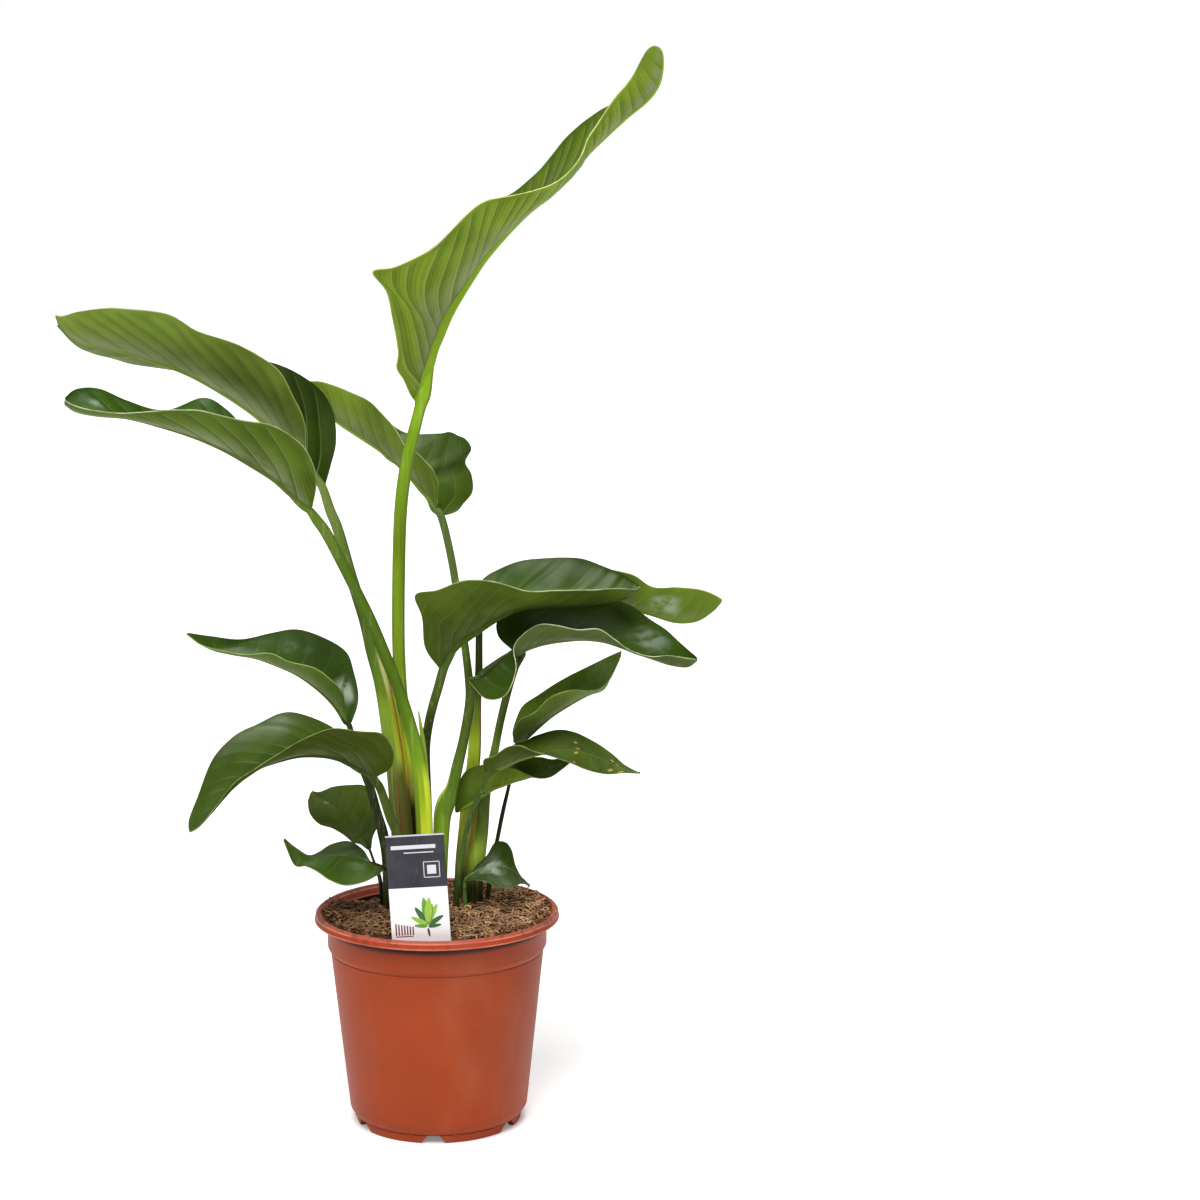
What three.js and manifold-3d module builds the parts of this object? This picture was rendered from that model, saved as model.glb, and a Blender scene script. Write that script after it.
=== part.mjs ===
// Potted white bird of paradise in its nursery pot.
// Millimetres, +Z up. The origin is on the pot's axis at the level of the surface it stands on.
// The plant is seen from -Y in the photograph, so X runs to the right and Y away from the viewer.

import * as THREE from 'three';
import { mergeVertices } from 'three/addons/utils/BufferGeometryUtils.js';
import Module from 'manifold-3d';

// Driving sizes of the pot
const POT_HEIGHT = 151.5;
const RIM_RADIUS = 85;
const RIM_TOP_WIDTH = 2.8;
const RIM_TOP_THICKNESS = 2.4;
const LIP_HEIGHT = 7;
const LIP_THICKNESS = 1.6;
const FLARE_HEIGHT = 8.6;
const COLLAR_RADIUS = 76.2;
const STEP_RADIUS = 74.2;
const STEP_HEIGHT = 123;
const STEP_RISE = 3.5;
const BASE_RADIUS = 61.8;
const BASE_HEIGHT = 10.5;
const FOOT_RADIUS = 57.3;
const FOOT_HEIGHT = 6;
const FOOT_WIDTH = 4;
const WALL = 1.5;
const EDGE_ROUNDING = 0.6;
const BASE_PANEL_UNDERSIDE = 6.2;
const BASE_PANEL_TOP = 7.8;
const ROUND_SEGMENTS = 48;

// The foot ring is broken by six drainage notches, and the base panel has six drain holes
const NOTCH_COUNT = 6;
const NOTCH_FIRST_ANGLE = THREE.MathUtils.degToRad(-90.6);
const NOTCH_WIDTH_AT_FLOOR = 17;
const NOTCH_WIDTH_AT_TOP = 8;
const NOTCH_HEIGHT = 5.6;
const CUT_OVERRUN = 2;
const DRAIN_HOLE_RADIUS = 4;
const DRAIN_HOLE_CIRCLE = 38;

// Soil
const SOIL_TOP = 148;
const SOIL_RADIUS = 78.4;
const CLEARANCE = 0.3;

// Plant label, a thin plastic card held by its pointed stake in the soil behind the front of the rim
const LABEL_WIDTH = 39.5;
const LABEL_HEIGHT = 71.6;
const LABEL_THICKNESS = 0.6;
const STAKE_WIDTH = 15;
const STAKE_LENGTH = 28;
const STAKE_POINT = 10;
const LABEL_CENTRE_X = -6.6;
const LABEL_Y = -69;
const LABEL_LEAN_BACK = THREE.MathUtils.degToRad(2.5);
const LABEL_TILT = THREE.MathUtils.degToRad(3.4);
const LABEL_LIFT = 1.5;

// Leaves
const BLADE_THICKNESS = 1.2;
const BLADE_COLUMNS = 3;
const STALK_SIDES = 8;
const STALK_DEPTH_RATIO = 0.85;

// Each leaf: the midrib and the two edges of its blade from base to tip, and the stalk from the
// blade down to the soil. Points are [x, y, z]; a stalk point also has its width.
// The near edge is the one on the viewer's side.
const LEAVES = [
  {
    name: 'tallest_leaf',
    midrib: [
      [-10, 6, 498.5], [-8.5, 7, 506], [-7, 8, 514], [-5, 10, 522.5],
      [-2.5, 10, 530.5], [0, 12, 539], [4, 14, 548], [7.5, 14, 556],
      [12, 15, 565.5], [18, 16, 575.5], [24.5, 16, 585.5], [35, 16, 600.5],
      [52.5, 14, 620], [71.5, 12, 638], [90.5, 8, 656.5], [109.5, 4, 674.5],
      [129.5, 0, 692.5], [144.5, -3, 704.5], [152, -5, 714.5], [154.5, -6, 725],
      [154.5, -6, 733.5], [153, -6, 737.5], [151, -6, 739],
    ],
    nearEdge: [
      [-11.5, 5, 504], [-15.5, -1, 510], [-19, -7, 519], [-23.5, -14, 528],
      [-22, -20, 540], [-24.5, -28, 562], [-27.5, -34, 579.5], [-36, -39, 593],
      [-20, -38, 596.5], [2, -36, 608], [18, -34, 623.5], [34.5, -34, 637.5],
      [58.5, -34, 643], [80.5, -34, 650], [98.5, -30, 664], [106, -24, 680.5],
      [119.5, -18, 702], [130.5, -15, 714.5], [136.5, -12, 723], [141, -10, 731.5],
      [144.5, -8, 737], [147.5, -7, 739], [149.5, -6, 739.5],
    ],
    farEdge: [
      [-7.5, 8, 501.5], [-6.5, 14, 512], [-6.5, 20, 522.5], [-6.5, 27, 537],
      [-6, 34, 550], [-7.5, 45, 571], [-6, 51, 581], [-2, 55, 590],
      [4.5, 56, 601], [13, 55, 612], [22.5, 54, 624], [38, 50, 637],
      [54.5, 44, 643.5], [73, 38, 658.5], [90.5, 32, 681], [108, 24, 694.5],
      [123, 16, 703], [137.5, 9, 711], [144, 4, 719], [148.5, 0, 729],
      [150.5, -3, 734.5], [150.5, -5, 738], [150.5, -6, 739.5],
    ],
    stalk: [
      [-9, 6, 498, 8], [-14, 6, 479, 8.5], [-18.5, 6, 460, 9], [-23, 5, 423, 9],
      [-25, 4, 353.5, 9], [-24.5, 8, 310.5, 9], [-22.5, 13, 281.5, 9.5], [-20, 15, 255, 10.5],
      [-18, 16, 224, 11], [-15.5, 17, 188, 11.5], [-14.5, 18, 148.3, 11.5],
    ],
  },
  {
    name: 'high_left_leaf',
    midrib: [
      [-77.5, 12, 445.5], [-82, 14, 454.5], [-89, 16, 463], [-98, 17, 472],
      [-110, 18, 483], [-126, 17, 496.5], [-145.5, 16, 509.5], [-166.5, 13, 521.5],
      [-191.5, 9, 531.5], [-215, 5, 539], [-237.5, 2, 544], [-251, -2, 556.5],
    ],
    nearEdge: [
      [-80.5, 10, 450.5], [-85, -4, 470], [-84.5, -16, 489.5], [-91, -22, 507.5],
      [-102.5, -24, 528.5], [-126, -24, 544], [-153, -22, 552.5], [-177, -18, 564.5],
      [-208, -16, 568], [-230, -14, 566], [-245.5, -10, 562.5], [-252, -4, 562.5],
    ],
    farEdge: [
      [-75, 14, 444], [-71.5, 24, 458], [-68.5, 34, 473.5], [-71, 42, 493],
      [-81.5, 46, 509], [-105, 48, 523.5], [-133, 46, 530.5], [-164, 42, 527.5],
      [-197, 34, 525.5], [-220, 24, 532], [-240, 12, 540], [-252, 0, 555],
    ],
    stalk: [
      [-76, 12, 443, 6], [-71.5, 12, 428.5, 7], [-66, 12, 414, 7.5], [-57.5, 12, 382, 8],
      [-48.5, 11, 352, 8.5], [-43, 9, 331.5, 10.5], [-37.5, 6, 313, 11.5], [-33.5, 3, 295.5, 13],
      [-30.5, 1, 276.5, 14], [-27, 0, 249, 14.5], [-24, 1, 203.5, 15], [-21, 3, 148.3, 14.5],
    ],
  },
  {
    name: 'near_left_leaf',
    midrib: [
      [-81.5, -30, 434.5], [-87.5, -31, 439.5], [-94.5, -32, 446.5], [-104, -34, 455.5],
      [-117.5, -36, 464.5], [-136, -38, 475.5], [-156, -40, 484.5], [-179.5, -41, 492],
      [-200, -41, 497], [-220, -40, 498.5], [-234, -38, 501], [-241.5, -36, 505.5],
    ],
    nearEdge: [
      [-79, -32, 437], [-75, -44, 453], [-75.5, -56, 468], [-83, -64, 482],
      [-101, -68, 494.5], [-123.5, -70, 499.5], [-150, -70, 505], [-175.5, -66, 504],
      [-200, -60, 502.5], [-220.5, -54, 503.5], [-234, -46, 506], [-241, -38, 508.5],
    ],
    farEdge: [
      [-82.5, -28, 436.5], [-86.5, -24, 448], [-93.5, -20, 459.5], [-104.5, -16, 471.5],
      [-121, -12, 482], [-138.5, -8, 499.5], [-154, -8, 507.5], [-180, -10, 499],
      [-203, -14, 505], [-221, -20, 514.5], [-235, -26, 515], [-241.5, -34, 510],
    ],
    stalk: [
      [-81, -30, 433.5, 5.5], [-76.5, -29, 427, 7], [-71, -28, 419, 7.5], [-64, -26, 405, 7.5],
      [-52.5, -23, 380.5, 7.5], [-42, -20, 357.5, 7.5], [-33, -17, 333.5, 8], [-23.5, -15, 307, 8.5],
      [-16.5, -13, 282.5, 9], [-11, -12, 258, 10.5], [-8.5, -11, 230.5, 11.5], [-7.5, -8, 194, 11.5],
      [-7.5, -4, 148.3, 11.5],
    ],
  },
  {
    name: 'back_leaf',
    midrib: [
      [1.5, 40, 423.5], [-1.5, 41, 426.5], [-4, 42, 431], [-7, 44, 435],
      [-10.5, 45, 438.5], [-14, 46, 442.5], [-18, 48, 447], [-22.5, 50, 451],
      [-27.5, 52, 456], [-34, 54, 460], [-40, 57, 465], [-54.5, 63, 473.5],
      [-69, 69, 482], [-83.5, 74, 492.5], [-95, 78, 502], [-101.5, 80, 506],
    ],
    nearEdge: [
      [0, 39, 427], [1, 36, 435], [2, 32, 443], [0.5, 29, 449],
      [-2, 26, 455], [-6, 25, 459.5], [-10, 24, 464], [-15, 25, 468],
      [-20.5, 26, 471.5], [-25, 30, 479.5], [-30.5, 34, 486.5], [-45.5, 48, 499],
      [-63, 60, 506], [-80.5, 68, 511.5], [-94.5, 74, 511], [-102, 79, 507.5],
    ],
    farEdge: [
      [4.5, 42, 420.5], [13.5, 49, 423], [18, 56, 427.5], [24, 64, 435],
      [23, 73, 446], [18.5, 80, 454], [22.5, 80, 463], [18.5, 85, 469],
      [13, 86, 471.5], [6.5, 87, 474], [-2, 88, 473], [-25.5, 90, 474.5],
      [-48, 90, 491], [-70.5, 88, 501], [-87, 86, 505.5], [-100, 82, 507.5],
    ],
    stalk: [
      [3, 39, 420.5, 5.5], [8.5, 38, 398.5, 5.5], [13, 35, 373.5, 5.5], [19, 26, 335, 5.5],
      [22.5, 16, 310.5, 6], [23.5, 9, 295, 7], [19.5, 3, 271, 7], [15, 0, 252, 8],
      [11.5, -2, 237.5, 9], [7.5, -2, 227.5, 13], [4.5, -1, 217.5, 12.5], [3.5, -1, 205, 11.5],
      [2, 2, 177.5, 11], [1, 6, 148.3, 11],
    ],
  },
  {
    name: 'side_left_leaf',
    midrib: [
      [-60, 4, 280], [-63.5, 4, 285], [-70, 3, 295], [-79.5, 2, 305],
      [-93.5, 0, 316], [-107.5, -2, 323], [-121.5, -4, 328.5], [-135.5, -6, 331.5],
      [-149, -8, 334.5], [-160, -10, 340], [-168, -11, 346.5],
    ],
    nearEdge: [
      [-61.5, 2, 283], [-61.5, -6, 295.5], [-62, -14, 306], [-69, -20, 315.5],
      [-81, -24, 325.5], [-97.5, -25, 330.5], [-109.5, -24, 335.5], [-126.5, -20, 334],
      [-144.5, -14, 335.5], [-159.5, -11, 339.5], [-168.5, -11, 347.5],
    ],
    farEdge: [
      [-58, 6, 281.5], [-54.5, 10, 292], [-54, 14, 301], [-57, 18, 314.5],
      [-62, 20, 327.5], [-75.5, 20, 337], [-95.5, 18, 344.5], [-114, 12, 343],
      [-134, 4, 340], [-152.5, -4, 343.5], [-167.5, -10, 347],
    ],
    stalk: [
      [-59.5, 4, 279, 4], [-56, 5, 263.5, 4], [-51.5, 6, 249, 5], [-46, 6, 235, 6],
      [-41.5, 5, 218, 6.5], [-37.5, 5, 202.5, 7.5], [-35, 7, 183, 7.5], [-34.5, 10, 148.3, 7.5],
    ],
  },
  {
    name: 'drooping_leaf',
    midrib: [
      [-44.5, -34, 256], [-50, -36, 259], [-56, -38, 262.5], [-63.5, -40, 266.5],
      [-74, -42, 269], [-89, -45, 269.5], [-103.5, -48, 266.5], [-118, -51, 261.5],
      [-131, -54, 253.5], [-141.5, -57, 242], [-150.5, -59, 231], [-157.5, -61, 223],
      [-162, -62, 220.5],
    ],
    nearEdge: [
      [-37, -38, 253.5], [-27, -50, 262.5], [-24.5, -60, 275.5], [-31, -68, 289],
      [-47, -72, 291.5], [-63, -74, 293.5], [-81.5, -74, 287.5], [-99, -72, 278],
      [-115.5, -68, 266.5], [-129.5, -66, 256], [-143.5, -64, 239], [-154, -63, 226],
      [-161, -63, 221],
    ],
    farEdge: [
      [-45.5, -31, 256.5], [-47.5, -24, 264], [-52, -18, 268.5], [-60.5, -14, 273],
      [-70, -12, 282.5], [-82.5, -12, 288.5], [-101, -14, 292.5], [-120, -18, 285],
      [-136.5, -24, 277.5], [-150.5, -32, 262.5], [-159.5, -42, 239], [-163.5, -52, 227],
      [-163, -59, 221.5],
    ],
    stalk: [
      [-43, -34, 254, 6], [-39, -31, 247.5, 6], [-36, -28, 241.5, 6], [-30.5, -22, 221.5, 6.5],
      [-26, -18, 208, 7], [-23, -14, 188.5, 7.5], [-21.5, -14, 148.3, 7.5],
    ],
  },
  {
    name: 'small_left_leaf',
    midrib: [
      [-48, 22, 186.5], [-50, 22, 191.5], [-54, 22, 197], [-58.5, 21, 202.5],
      [-63, 20, 209.5], [-67.5, 18, 215], [-73, 16, 220.5], [-79.5, 13, 225.5],
      [-85, 11, 229], [-87, 10, 231],
    ],
    nearEdge: [
      [-49.5, 21, 187], [-54, 16, 192.5], [-59, 12, 195], [-65, 9, 201],
      [-73, 8, 206], [-82, 8, 209], [-88, 9, 215.5], [-89.5, 9, 223.5],
      [-88.5, 10, 228], [-87.5, 10, 230.5],
    ],
    farEdge: [
      [-47.5, 22, 188], [-46, 24, 196], [-43, 26, 203], [-43.5, 28, 212.5],
      [-45.5, 29, 224.5], [-52, 28, 231.5], [-62.5, 25, 232.5], [-73, 19, 232.5],
      [-81.5, 13, 230], [-86.5, 10, 231.5],
    ],
    stalk: [
      [-48, 22, 186, 2], [-45.5, 21, 179, 2], [-41, 19, 165.5, 3], [-39, 19, 148.3, 3],
    ],
  },
  {
    name: 'lowest_left_leaf',
    midrib: [
      [-36, -2, 180], [-41, -4, 183], [-48.5, -6, 186.5], [-57.5, -9, 190],
      [-67.5, -12, 191.5], [-78, -15, 191.5], [-86.5, -18, 192], [-94, -20, 197.5],
      [-99, -22, 202], [-103, -23, 206],
    ],
    nearEdge: [
      [-36.5, -4, 179], [-40.5, -14, 178], [-50, -22, 175], [-61.5, -26, 174],
      [-72, -28, 178.5], [-81, -28, 185], [-88, -27, 188], [-95.5, -25, 187.5],
      [-100.5, -24, 197.5], [-103, -24, 205],
    ],
    farEdge: [
      [-37, 0, 180], [-46, 10, 181], [-52.5, 18, 188], [-62.5, 22, 193],
      [-74.5, 20, 191], [-82.5, 10, 188], [-88.5, -2, 189], [-94.5, -14, 196.5],
      [-99, -20, 202], [-102.5, -22, 206],
    ],
    stalk: [
      [-35, -2, 178.5, 3], [-34, -3, 173, 3], [-34, -4, 164.5, 3], [-34, -5, 148.3, 3],
    ],
  },
  {
    name: 'near_right_leaf',
    midrib: [
      [6.5, -8, 323.5], [10, -10, 331], [13.5, -12, 336], [18, -14, 340.5],
      [23.5, -15, 344.5], [32, -16, 350.5], [45, -18, 359], [60, -18, 365.5],
      [77.5, -18, 367], [98.5, -16, 367.5], [117.5, -14, 369], [131, -12, 371.5],
      [138.5, -12, 377], [140.5, -12, 379],
    ],
    nearEdge: [
      [3.5, -10, 322.5], [-5, -26, 340], [-6, -38, 362], [-10, -44, 378.5],
      [5.5, -48, 382.5], [23, -50, 389.5], [43, -52, 389.5], [63, -56, 384.5],
      [79.5, -56, 383], [98, -52, 383], [115.5, -42, 383], [129, -28, 380.5],
      [137, -16, 378], [140, -12, 379],
    ],
    farEdge: [
      [8.5, -6, 326], [16, 2, 338.5], [19, 8, 350], [20.5, 12, 363],
      [23, 14, 371.5], [32, 16, 379], [41, 18, 385], [59.5, 18, 392.5],
      [78.5, 17, 395], [97.5, 14, 395], [114, 8, 390.5], [127.5, -1, 386.5],
      [137, -8, 381.5], [140.5, -11, 379.5],
    ],
    stalk: [
      [6.5, -8, 322, 6.5], [2.5, -4, 308, 6.5], [-1.5, 0, 294.5, 6.5], [-5, 6, 280, 6.5],
      [-7.5, 13, 264, 6.5], [-8, 18, 248.5, 6.5], [-7.5, 22, 222.5, 6.5], [-7, 24, 186, 7],
      [-6.5, 25, 148.3, 7],
    ],
  },
  {
    name: 'far_right_leaf',
    midrib: [
      [33, 24, 361], [44, 32, 365.5], [61, 40, 368.5], [80.5, 46, 368],
      [99.5, 49, 364], [115.5, 50, 360], [133, 49, 354.5], [150, 46, 350],
      [166.5, 43, 345.5], [181, 40, 347], [192, 37, 354.5], [197.5, 35, 361],
    ],
    nearEdge: [
      [31.5, 23, 361.5], [40.5, 25, 375], [58.5, 26, 382.5], [79.5, 26, 385.5],
      [99.5, 26, 386], [117.5, 27, 385.5], [135.5, 28, 381], [150, 30, 372.5],
      [166, 32, 372], [183, 33, 370], [193.5, 34, 366], [198.5, 34, 363],
    ],
    farEdge: [
      [35, 26, 361.5], [43.5, 42, 371], [62.5, 58, 376.5], [82.5, 70, 377.5],
      [102, 74, 374], [120.5, 74, 370], [137.5, 70, 363.5], [153, 62, 360],
      [169.5, 54, 359], [183.5, 46, 360.5], [193, 40, 361.5], [198, 36, 361.5],
    ],
    stalk: [
      [33, 24, 360.5, 4], [30.5, 24, 351.5, 5], [29.5, 25, 340.5, 5], [29, 26, 312, 5.5],
      [27.5, 27, 291.5, 6.5], [26, 27, 264.5, 9], [24.5, 27, 245.5, 9.5], [21, 27, 225, 9.5],
      [18, 27, 199.5, 8.5], [15.5, 27, 174.5, 8.5], [14, 28, 148.3, 8.5],
    ],
  },
  {
    name: 'broad_right_leaf',
    midrib: [
      [24, -26, 318.5], [34, -26, 322], [44.5, -25, 330.5], [52.5, -23, 336.5],
      [57.5, -20, 335], [64.5, -21, 338.5], [75, -22, 342], [87.5, -22, 344],
      [102, -22, 345], [115.5, -22, 343.5], [126.5, -22, 340], [138, -22, 335.5],
      [149.5, -23, 331.5], [161, -25, 328], [172.5, -27, 327], [179, -28, 331.5],
    ],
    nearEdge: [
      [25.5, -27, 315.5], [36.5, -32, 305.5], [49.5, -36, 309], [56.5, -38, 326.5],
      [55, -36, 341], [61, -42, 351.5], [71.5, -46, 359], [84, -48, 359],
      [98, -48, 355.5], [112, -46, 356], [123, -40, 348.5], [134.5, -34, 339.5],
      [148, -30, 334.5], [159.5, -30, 335], [171, -30, 333.5], [177.5, -29, 332.5],
    ],
    farEdge: [
      [24, -23, 318], [34, -23, 322], [44, -22, 330.5], [52.5, -20, 336.5],
      [53.5, -14, 335.5], [43.5, -4, 344.5], [45, 4, 355.5], [65, 14, 363],
      [91.5, 18, 365.5], [115, 18, 366.5], [132.5, 14, 362.5], [147, 6, 354],
      [158.5, -2, 348], [168, -10, 340.5], [174.5, -18, 335.5], [178.5, -26, 333],
    ],
    stalk: [
      [59.5, -17, 334.5, 5], [55.5, -13, 323, 5], [50.5, -6, 306.5, 5.5], [44.5, 6, 281.5, 5.5],
      [39.5, 17, 256.5, 6], [35, 19, 241, 7.5], [31.5, 18, 225.5, 11], [29, 17, 202, 13],
      [26, 17, 179, 14], [23.5, 18, 148.3, 13],
    ],
  },
  {
    name: 'upright_right_leaf',
    midrib: [
      [56, 12, 264.5], [62, 9, 269.5], [70.5, 6, 278], [80.5, 3, 287],
      [93, 0, 295.5], [105, -2, 302.5], [115.5, -4, 307], [120.5, -5, 316.5],
      [126, -5, 327], [127.5, -5, 333],
    ],
    nearEdge: [
      [53.5, 10, 267], [54, -2, 277], [58.5, -12, 287], [69, -20, 294.5],
      [79, -24, 304.5], [93, -24, 309.5], [108, -16, 308], [118, -9, 312],
      [124.5, -6, 324], [127.5, -5, 331.5],
    ],
    farEdge: [
      [54.5, 14, 265.5], [52.5, 17, 271.5], [55.5, 20, 281.5], [60.5, 22, 290.5],
      [71.5, 23, 298.5], [87.5, 22, 308.5], [106, 16, 319], [118, 8, 326.5],
      [125, 2, 331], [127, -4, 333],
    ],
    stalk: [
      [55.5, 12, 263.5, 3], [53.5, 14, 255, 3], [52, 15, 245.5, 3], [50, 16, 234.5, 2.5],
      [45.5, 17, 215, 3], [41.5, 19, 195, 3], [37, 22, 173.5, 3.5], [33, 26, 148.3, 3.5],
    ],
  },
  {
    name: 'pointed_right_leaf',
    midrib: [
      [36, -14, 250], [41.5, -14, 252], [48.5, -14, 255.5], [56, -14, 259],
      [64, -15, 262], [73, -16, 264.5], [83.5, -17, 266.5], [97, -18, 266.5],
      [111.5, -19, 262.5], [123.5, -20, 257], [133, -21, 253.5], [141, -22, 252],
    ],
    nearEdge: [
      [35, -15, 250.5], [34, -22, 261], [41.5, -28, 265.5], [50.5, -32, 272.5],
      [59.5, -36, 274.5], [68, -39, 271.5], [79.5, -40, 268], [90.5, -38, 263.5],
      [104, -33, 257], [117.5, -27, 252.5], [130, -23, 252.5], [140.5, -22, 251.5],
    ],
    farEdge: [
      [38, -13, 251], [44.5, -8, 255], [49.5, -2, 259.5], [53.5, 2, 266],
      [61, 5, 267.5], [69, 7, 272], [83, 8, 276], [95.5, 6, 274.5],
      [108.5, 1, 269], [121.5, -7, 262], [130.5, -15, 256], [140.5, -22, 252],
    ],
    stalk: [
      [36, -14, 248.5, 4], [33.5, -12, 241, 3.5], [28, -8, 229, 3.5], [23, -4, 213, 3.5],
      [19, -1, 198, 3.5], [15.5, 1, 175.5, 4], [11.5, 5, 148.3, 4],
    ],
  },
  {
    name: 'inner_right_leaf',
    midrib: [
      [30.5, 0, 230], [32, 0, 231], [33.5, 0, 231.5], [34.5, 0, 233],
      [36.5, 0, 234], [40, 0, 236], [46.5, 0, 238.5], [53.5, 0, 241],
      [61.5, -1, 243.5], [70.5, -2, 246.5], [79.5, -3, 250.5], [86.5, -4, 254],
      [92.5, -5, 256],
    ],
    nearEdge: [
      [32.5, -1, 231.5], [34, -2, 235], [35, -2, 238.5], [36.5, -3, 241.5],
      [37.5, -3, 244], [42.5, -4, 249], [48.5, -5, 251.5], [55.5, -7, 251.5],
      [62.5, -9, 248.5], [71, -11, 246], [79.5, -11, 247], [86.5, -8, 251],
      [92.5, -6, 255.5],
    ],
    farEdge: [
      [27.5, 2, 228], [20, 4, 222.5], [13, 7, 217.5], [13, 8, 225],
      [15, 8, 236.5], [20.5, 9, 246.5], [33, 9, 251], [49, 9, 253],
      [62, 8, 255.5], [72, 7, 256.5], [79.5, 5, 255.5], [86, 2, 256.5],
      [92, -4, 256.5],
    ],
    stalk: [
      [29, 1, 227, 2.5], [24, 4, 215.5, 2.5], [19, 6, 196, 3], [15.5, 9, 173.5, 3],
      [12, 12, 148.3, 3.5],
    ],
  },
  {
    name: 'lowest_right_leaf',
    midrib: [
      [20, 4, 170.5], [23.5, 3, 174], [28.5, 3, 176.5], [34, 3, 179],
      [40.5, 3, 180], [46.5, 4, 179.5], [52, 6, 176.5], [57, 8, 172],
      [61, 9, 168.5], [64.5, 10, 164],
    ],
    nearEdge: [
      [18.5, 2, 170], [23, -3, 171.5], [28, -8, 173], [35.5, -12, 173],
      [42.5, -14, 170], [49, -14, 169], [54.5, -11, 169.5], [58.5, -4, 169.5],
      [62, 3, 167], [64.5, 9, 163.5],
    ],
    farEdge: [
      [20.5, 5, 171.5], [26, 4, 178], [30.5, 6, 182.5], [35, 8, 187],
      [40, 11, 194.5], [47, 13, 194.5], [51.5, 16, 188], [54.5, 13, 177.5],
      [59, 12, 169.5], [64.5, 11, 164.5],
    ],
    stalk: [
      [19.5, 4, 169, 3], [19, 4, 164.5, 3], [19, 5, 160, 3], [20, 6, 148.3, 3.5],
    ],
  },
];

// The next leaf, still a rolled spear, stands between the two shoots
const NEXT_LEAF = [
  [-11.5, 0, 290.5, 1], [-10.5, 0, 283, 2], [-8.5, 1, 266.5, 3.5], [-6.5, 5, 233.5, 4],
  [-5.5, 8, 197.5, 5], [-6, 11, 148.3, 5],
];

const MATERIALS = {
  pot: new THREE.MeshStandardMaterial({ color: 0xb4532f, roughness: 0.42, metalness: 0 }),
  soil: new THREE.MeshStandardMaterial({ color: 0x5a3d22, roughness: 0.95, metalness: 0 }),
  label: new THREE.MeshStandardMaterial({ color: 0x3a3a40, roughness: 0.4, metalness: 0 }),
  blade: new THREE.MeshStandardMaterial({ color: 0x4c7a28, roughness: 0.35, metalness: 0 }),
  stalk: new THREE.MeshStandardMaterial({ color: 0x7ea332, roughness: 0.45, metalness: 0 }),
};

const wasm = await Module();
wasm.setup();

function solidOf(geometry) {
  const bare = geometry.clone();
  bare.deleteAttribute('normal');
  bare.deleteAttribute('uv');
  const merged = mergeVertices(bare);
  return new wasm.Manifold(
    new wasm.Mesh({
      numProp: 3,
      vertProperties: new Float32Array(merged.attributes.position.array),
      triVerts: new Uint32Array(merged.index.array),
    }),
  );
}

function geometryOf(solid) {
  const mesh = solid.getMesh();
  const geometry = new THREE.BufferGeometry();
  geometry.setAttribute('position', new THREE.BufferAttribute(new Float32Array(mesh.vertProperties), 3));
  geometry.setIndex(new THREE.BufferAttribute(new Uint32Array(mesh.triVerts), 1));
  geometry.computeVertexNormals();
  return geometry;
}

// A lathe profile is given as [radius, height] pairs from the axis at the bottom and back to it
function turned(profile) {
  const points = profile.map(([radius, height]) => new THREE.Vector2(radius, height));
  const geometry = new THREE.LatheGeometry(points, ROUND_SEGMENTS);
  geometry.rotateX(Math.PI / 2);
  return geometry;
}

// The pot's inner wall, from the base panel up to the flare under the lip
function innerWall(inset) {
  return [
    [FOOT_RADIUS - inset, BASE_PANEL_TOP + inset],
    [BASE_RADIUS - WALL - EDGE_ROUNDING - inset, BASE_HEIGHT + inset],
    [STEP_RADIUS - WALL - inset, STEP_HEIGHT + EDGE_ROUNDING],
    [COLLAR_RADIUS - WALL - inset, STEP_HEIGHT + STEP_RISE + EDGE_ROUNDING],
    [COLLAR_RADIUS - WALL - inset, POT_HEIGHT - FLARE_HEIGHT],
  ];
}

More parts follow.
